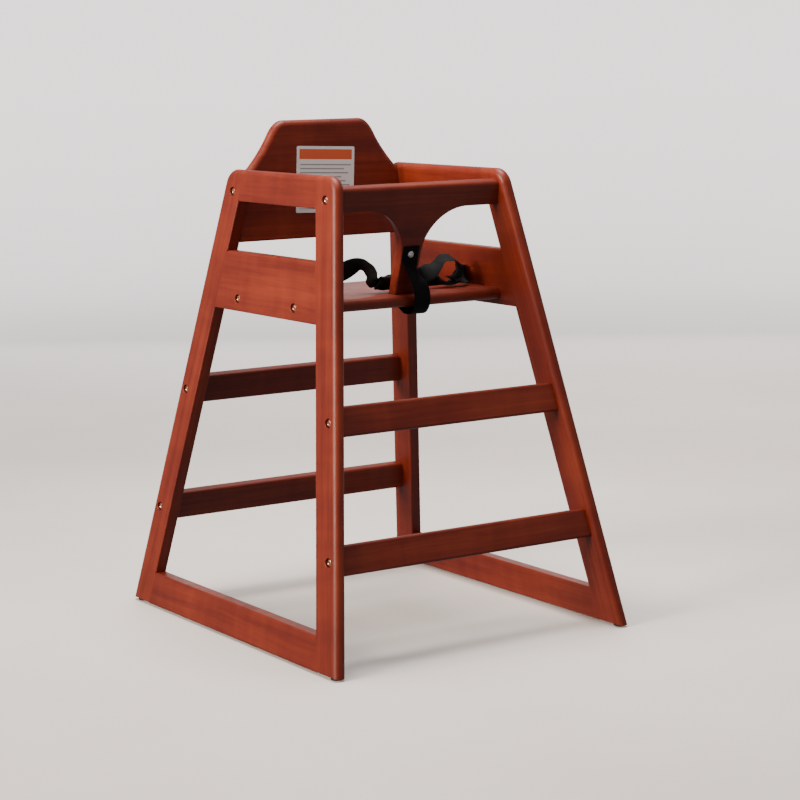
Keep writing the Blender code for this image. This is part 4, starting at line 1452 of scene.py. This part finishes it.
def make_straps(webbing, thread):
    crotch = Strap(crotch_points())
    right = Strap(right_points())
    left = Strap(left_points())
    for strap, name in ((crotch, "crotch_strap"), (right, "right_waist_strap")):
        piece = link(f"{name}_webbing", strap.mesh(f"{name}_webbing", webbing))
        mounted(piece, "chair", name, slot="black_webbing")
    rows = cross_rows(0.0032) + cross_rows(crotch.length - 0.0032)
    mounted(stitching("crotch_strap_stitches", crotch, rows, thread), "chair", slot="black_webbing")
    rows = box_stitch(0.0024, 0.0175) + cross_rows(right.length - 0.0245, right.length - 0.0265)
    mounted(stitching("right_strap_stitches", right, rows, thread), "chair", slot="black_webbing")
    piece = link("left_waist_strap_webbing", left.mesh("left_waist_strap_webbing", webbing))
    follow_plug(piece)
    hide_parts("left_waist_strap")
    rows = box_stitch(0.0024, 0.0175)
    mounted(stitching("left_strap_stitches", left, rows, thread), "chair", slot="black_webbing")
    rows = cross_rows(left.length - 0.0030, left.length - 0.0120)
    piece = stitching("left_strap_tail_hem", left, rows, thread)
    follow_plug(piece)


def make_label():
    """Thin film with rounded corners, put on slightly askew."""
    width, height = LABEL_SIZE
    corner = 0.0022
    outline = []
    for sx, sz, start in ((1, 1, 0), (-1, 1, 90), (-1, -1, 180), (1, -1, 270)):
        for step in range(6):
            angle = math.radians(start + 18 * step)
            x = sx * (width / 2 - corner) + corner * math.cos(angle)
            outline.append((x, sz * (height / 2 - corner) + corner * math.sin(angle)))
    caps = [[(x, y, z) for x, z in outline] for y in (-LABEL_THICKNESS, 0.0)]
    mesh = slab("plain_sticker", *caps)
    piece = link("plain_sticker", mesh, label_material(width, height))
    face = BACKREST_Y - BACKREST_THICKNESS / 2 - HAIR
    askew = Matrix.Rotation(LABEL_ASKEW, 4, "Y")
    piece.matrix_world = Matrix.Translation((LABEL_X, face, LABEL_Z)) @ askew
    mounted(piece, "chair", "label", slot="plain_sticker")


# ------------------------------------------------------------------- stage


def make_camera():
    camera = bpy.data.objects.new("camera", bpy.data.cameras.new("camera"))
    bpy.context.scene.collection.objects.link(camera)
    yaw, pitch, roll = (math.radians(a) for a in CAMERA_ANGLES)
    ahead = Vector((-math.sin(yaw) * math.cos(pitch), math.cos(yaw) * math.cos(pitch), math.sin(pitch)))
    right = Vector((math.cos(yaw), math.sin(yaw), 0))
    up = right.cross(ahead)
    right_rolled = math.cos(roll) * right + math.sin(roll) * up
    up_rolled = -math.sin(roll) * right + math.cos(roll) * up
    turn = Matrix((right_rolled, up_rolled, -ahead)).transposed()
    camera.matrix_world = Matrix.Translation(CAMERA_PLACE) @ turn.to_4x4()
    camera.data.sensor_width = 36.0
    camera.data.lens = CAMERA_LENS
    camera.data.clip_end = 50.0
    bpy.context.scene.camera = camera


def add_area_light(name, location, target, size, power, color, spread=180):
    light = bpy.data.lights.new(name, "AREA")
    light.shape = "RECTANGLE"
    light.size = size[0]
    light.size_y = size[1]
    light.energy = power
    light.color = color
    light.spread = math.radians(spread)
    lamp = bpy.data.objects.new(name, light)
    bpy.context.scene.collection.objects.link(lamp)
    lamp.location = location
    lamp.rotation_euler = (Vector(target) - Vector(location)).to_track_quat("-Z", "Y").to_euler()
    lamp.visible_camera = False


def backdrop_profile():
    """(radius, height) of a floor that curves up into a round studio wall."""
    profile = [(1.5, 0.0), (FLOOR_REACH, 0.0)]
    for i in range(1, 25):
        angle = math.pi / 2 * i / 24
        out = FLOOR_REACH + COVE_RADIUS * math.sin(angle)
        profile.append((out, COVE_RADIUS * (1 - math.cos(angle))))
    return profile + [(FLOOR_REACH + COVE_RADIUS, BACKDROP_TOP)]


def add_backdrop(material, sides=128):
    work = bmesh.new()
    rings = []
    for radius, height in backdrop_profile():
        ring = []
        for i in range(sides):
            angle = 2 * math.pi * i / sides
            ring.append(work.verts.new((radius * math.cos(angle), radius * math.sin(angle), height)))
        rings.append(ring)
    skin(work, rings, (0,))
    mesh = made(work, "backdrop")
    mesh.flip_normals()
    mesh.shade_smooth()
    sheet = link("backdrop", mesh, material)
    sheet.location.z = -0.0002
    sheet.visible_diffuse = False
    sheet.visible_shadow = False
    sheet.visible_glossy = False


def make_stage():
    add_backdrop(backdrop_material())
    world = bpy.data.worlds.new("studio")
    bpy.context.scene.world = world
    world.use_nodes = True
    background = world.node_tree.nodes["Background"]
    background.inputs["Color"].default_value = (0.96, 0.97, 1.0, 1.0)
    background.inputs["Strength"].default_value = 0.36
    add_area_light("key", (-3.5, 0.0, 2.2), (0, 0, 1.00), (2.4, 2.6), 50, (1.0, 0.89, 0.77), 42)
    add_area_light("overhead", (0.0, 0.2, 3.2), (0, 0.2, 0), (1.9, 1.9), 175, (1.0, 0.97, 0.94))
    add_area_light("glow", (1.8, 2.7, 1.0), (0, 0, 0.5), (2.6, 1.6), 15, (1.0, 0.98, 0.96))


def main():
    make_camera()
    make_stage()
    wood = wood_material()
    shop = Workshop(wood)
    for word, side in SIDES.items():
        make_side_frame(shop, word, side)
    make_seat(shop)
    make_backrest(shop)
    make_front_panel(shop)
    for end_word, end in ENDS.items():
        for level_word, level in BAR_LEVELS.items():
            make_bar(shop, f"{end_word}_{level_word}_bar", end, level)
    bronze = steel_material("bronze_plated_steel", (0.86, 0.56, 0.38), (0.50, 0.25, 0.14), 0.26)
    zinc = steel_material("zinc_plated_steel", (0.62, 0.62, 0.60), (0.36, 0.35, 0.33), 0.34)
    make_fasteners(shop, bronze, zinc)
    shop.finish()
    make_glides(rubber_material())
    make_straps(webbing_material(), thread_material())
    plastic = plastic_material()
    make_socket(plastic)
    make_plug(plastic)
    make_strap_screws(steel_material("nickel_plated_steel", (0.78, 0.77, 0.75), (0.48, 0.47, 0.45), 0.22))
    make_label()


main()
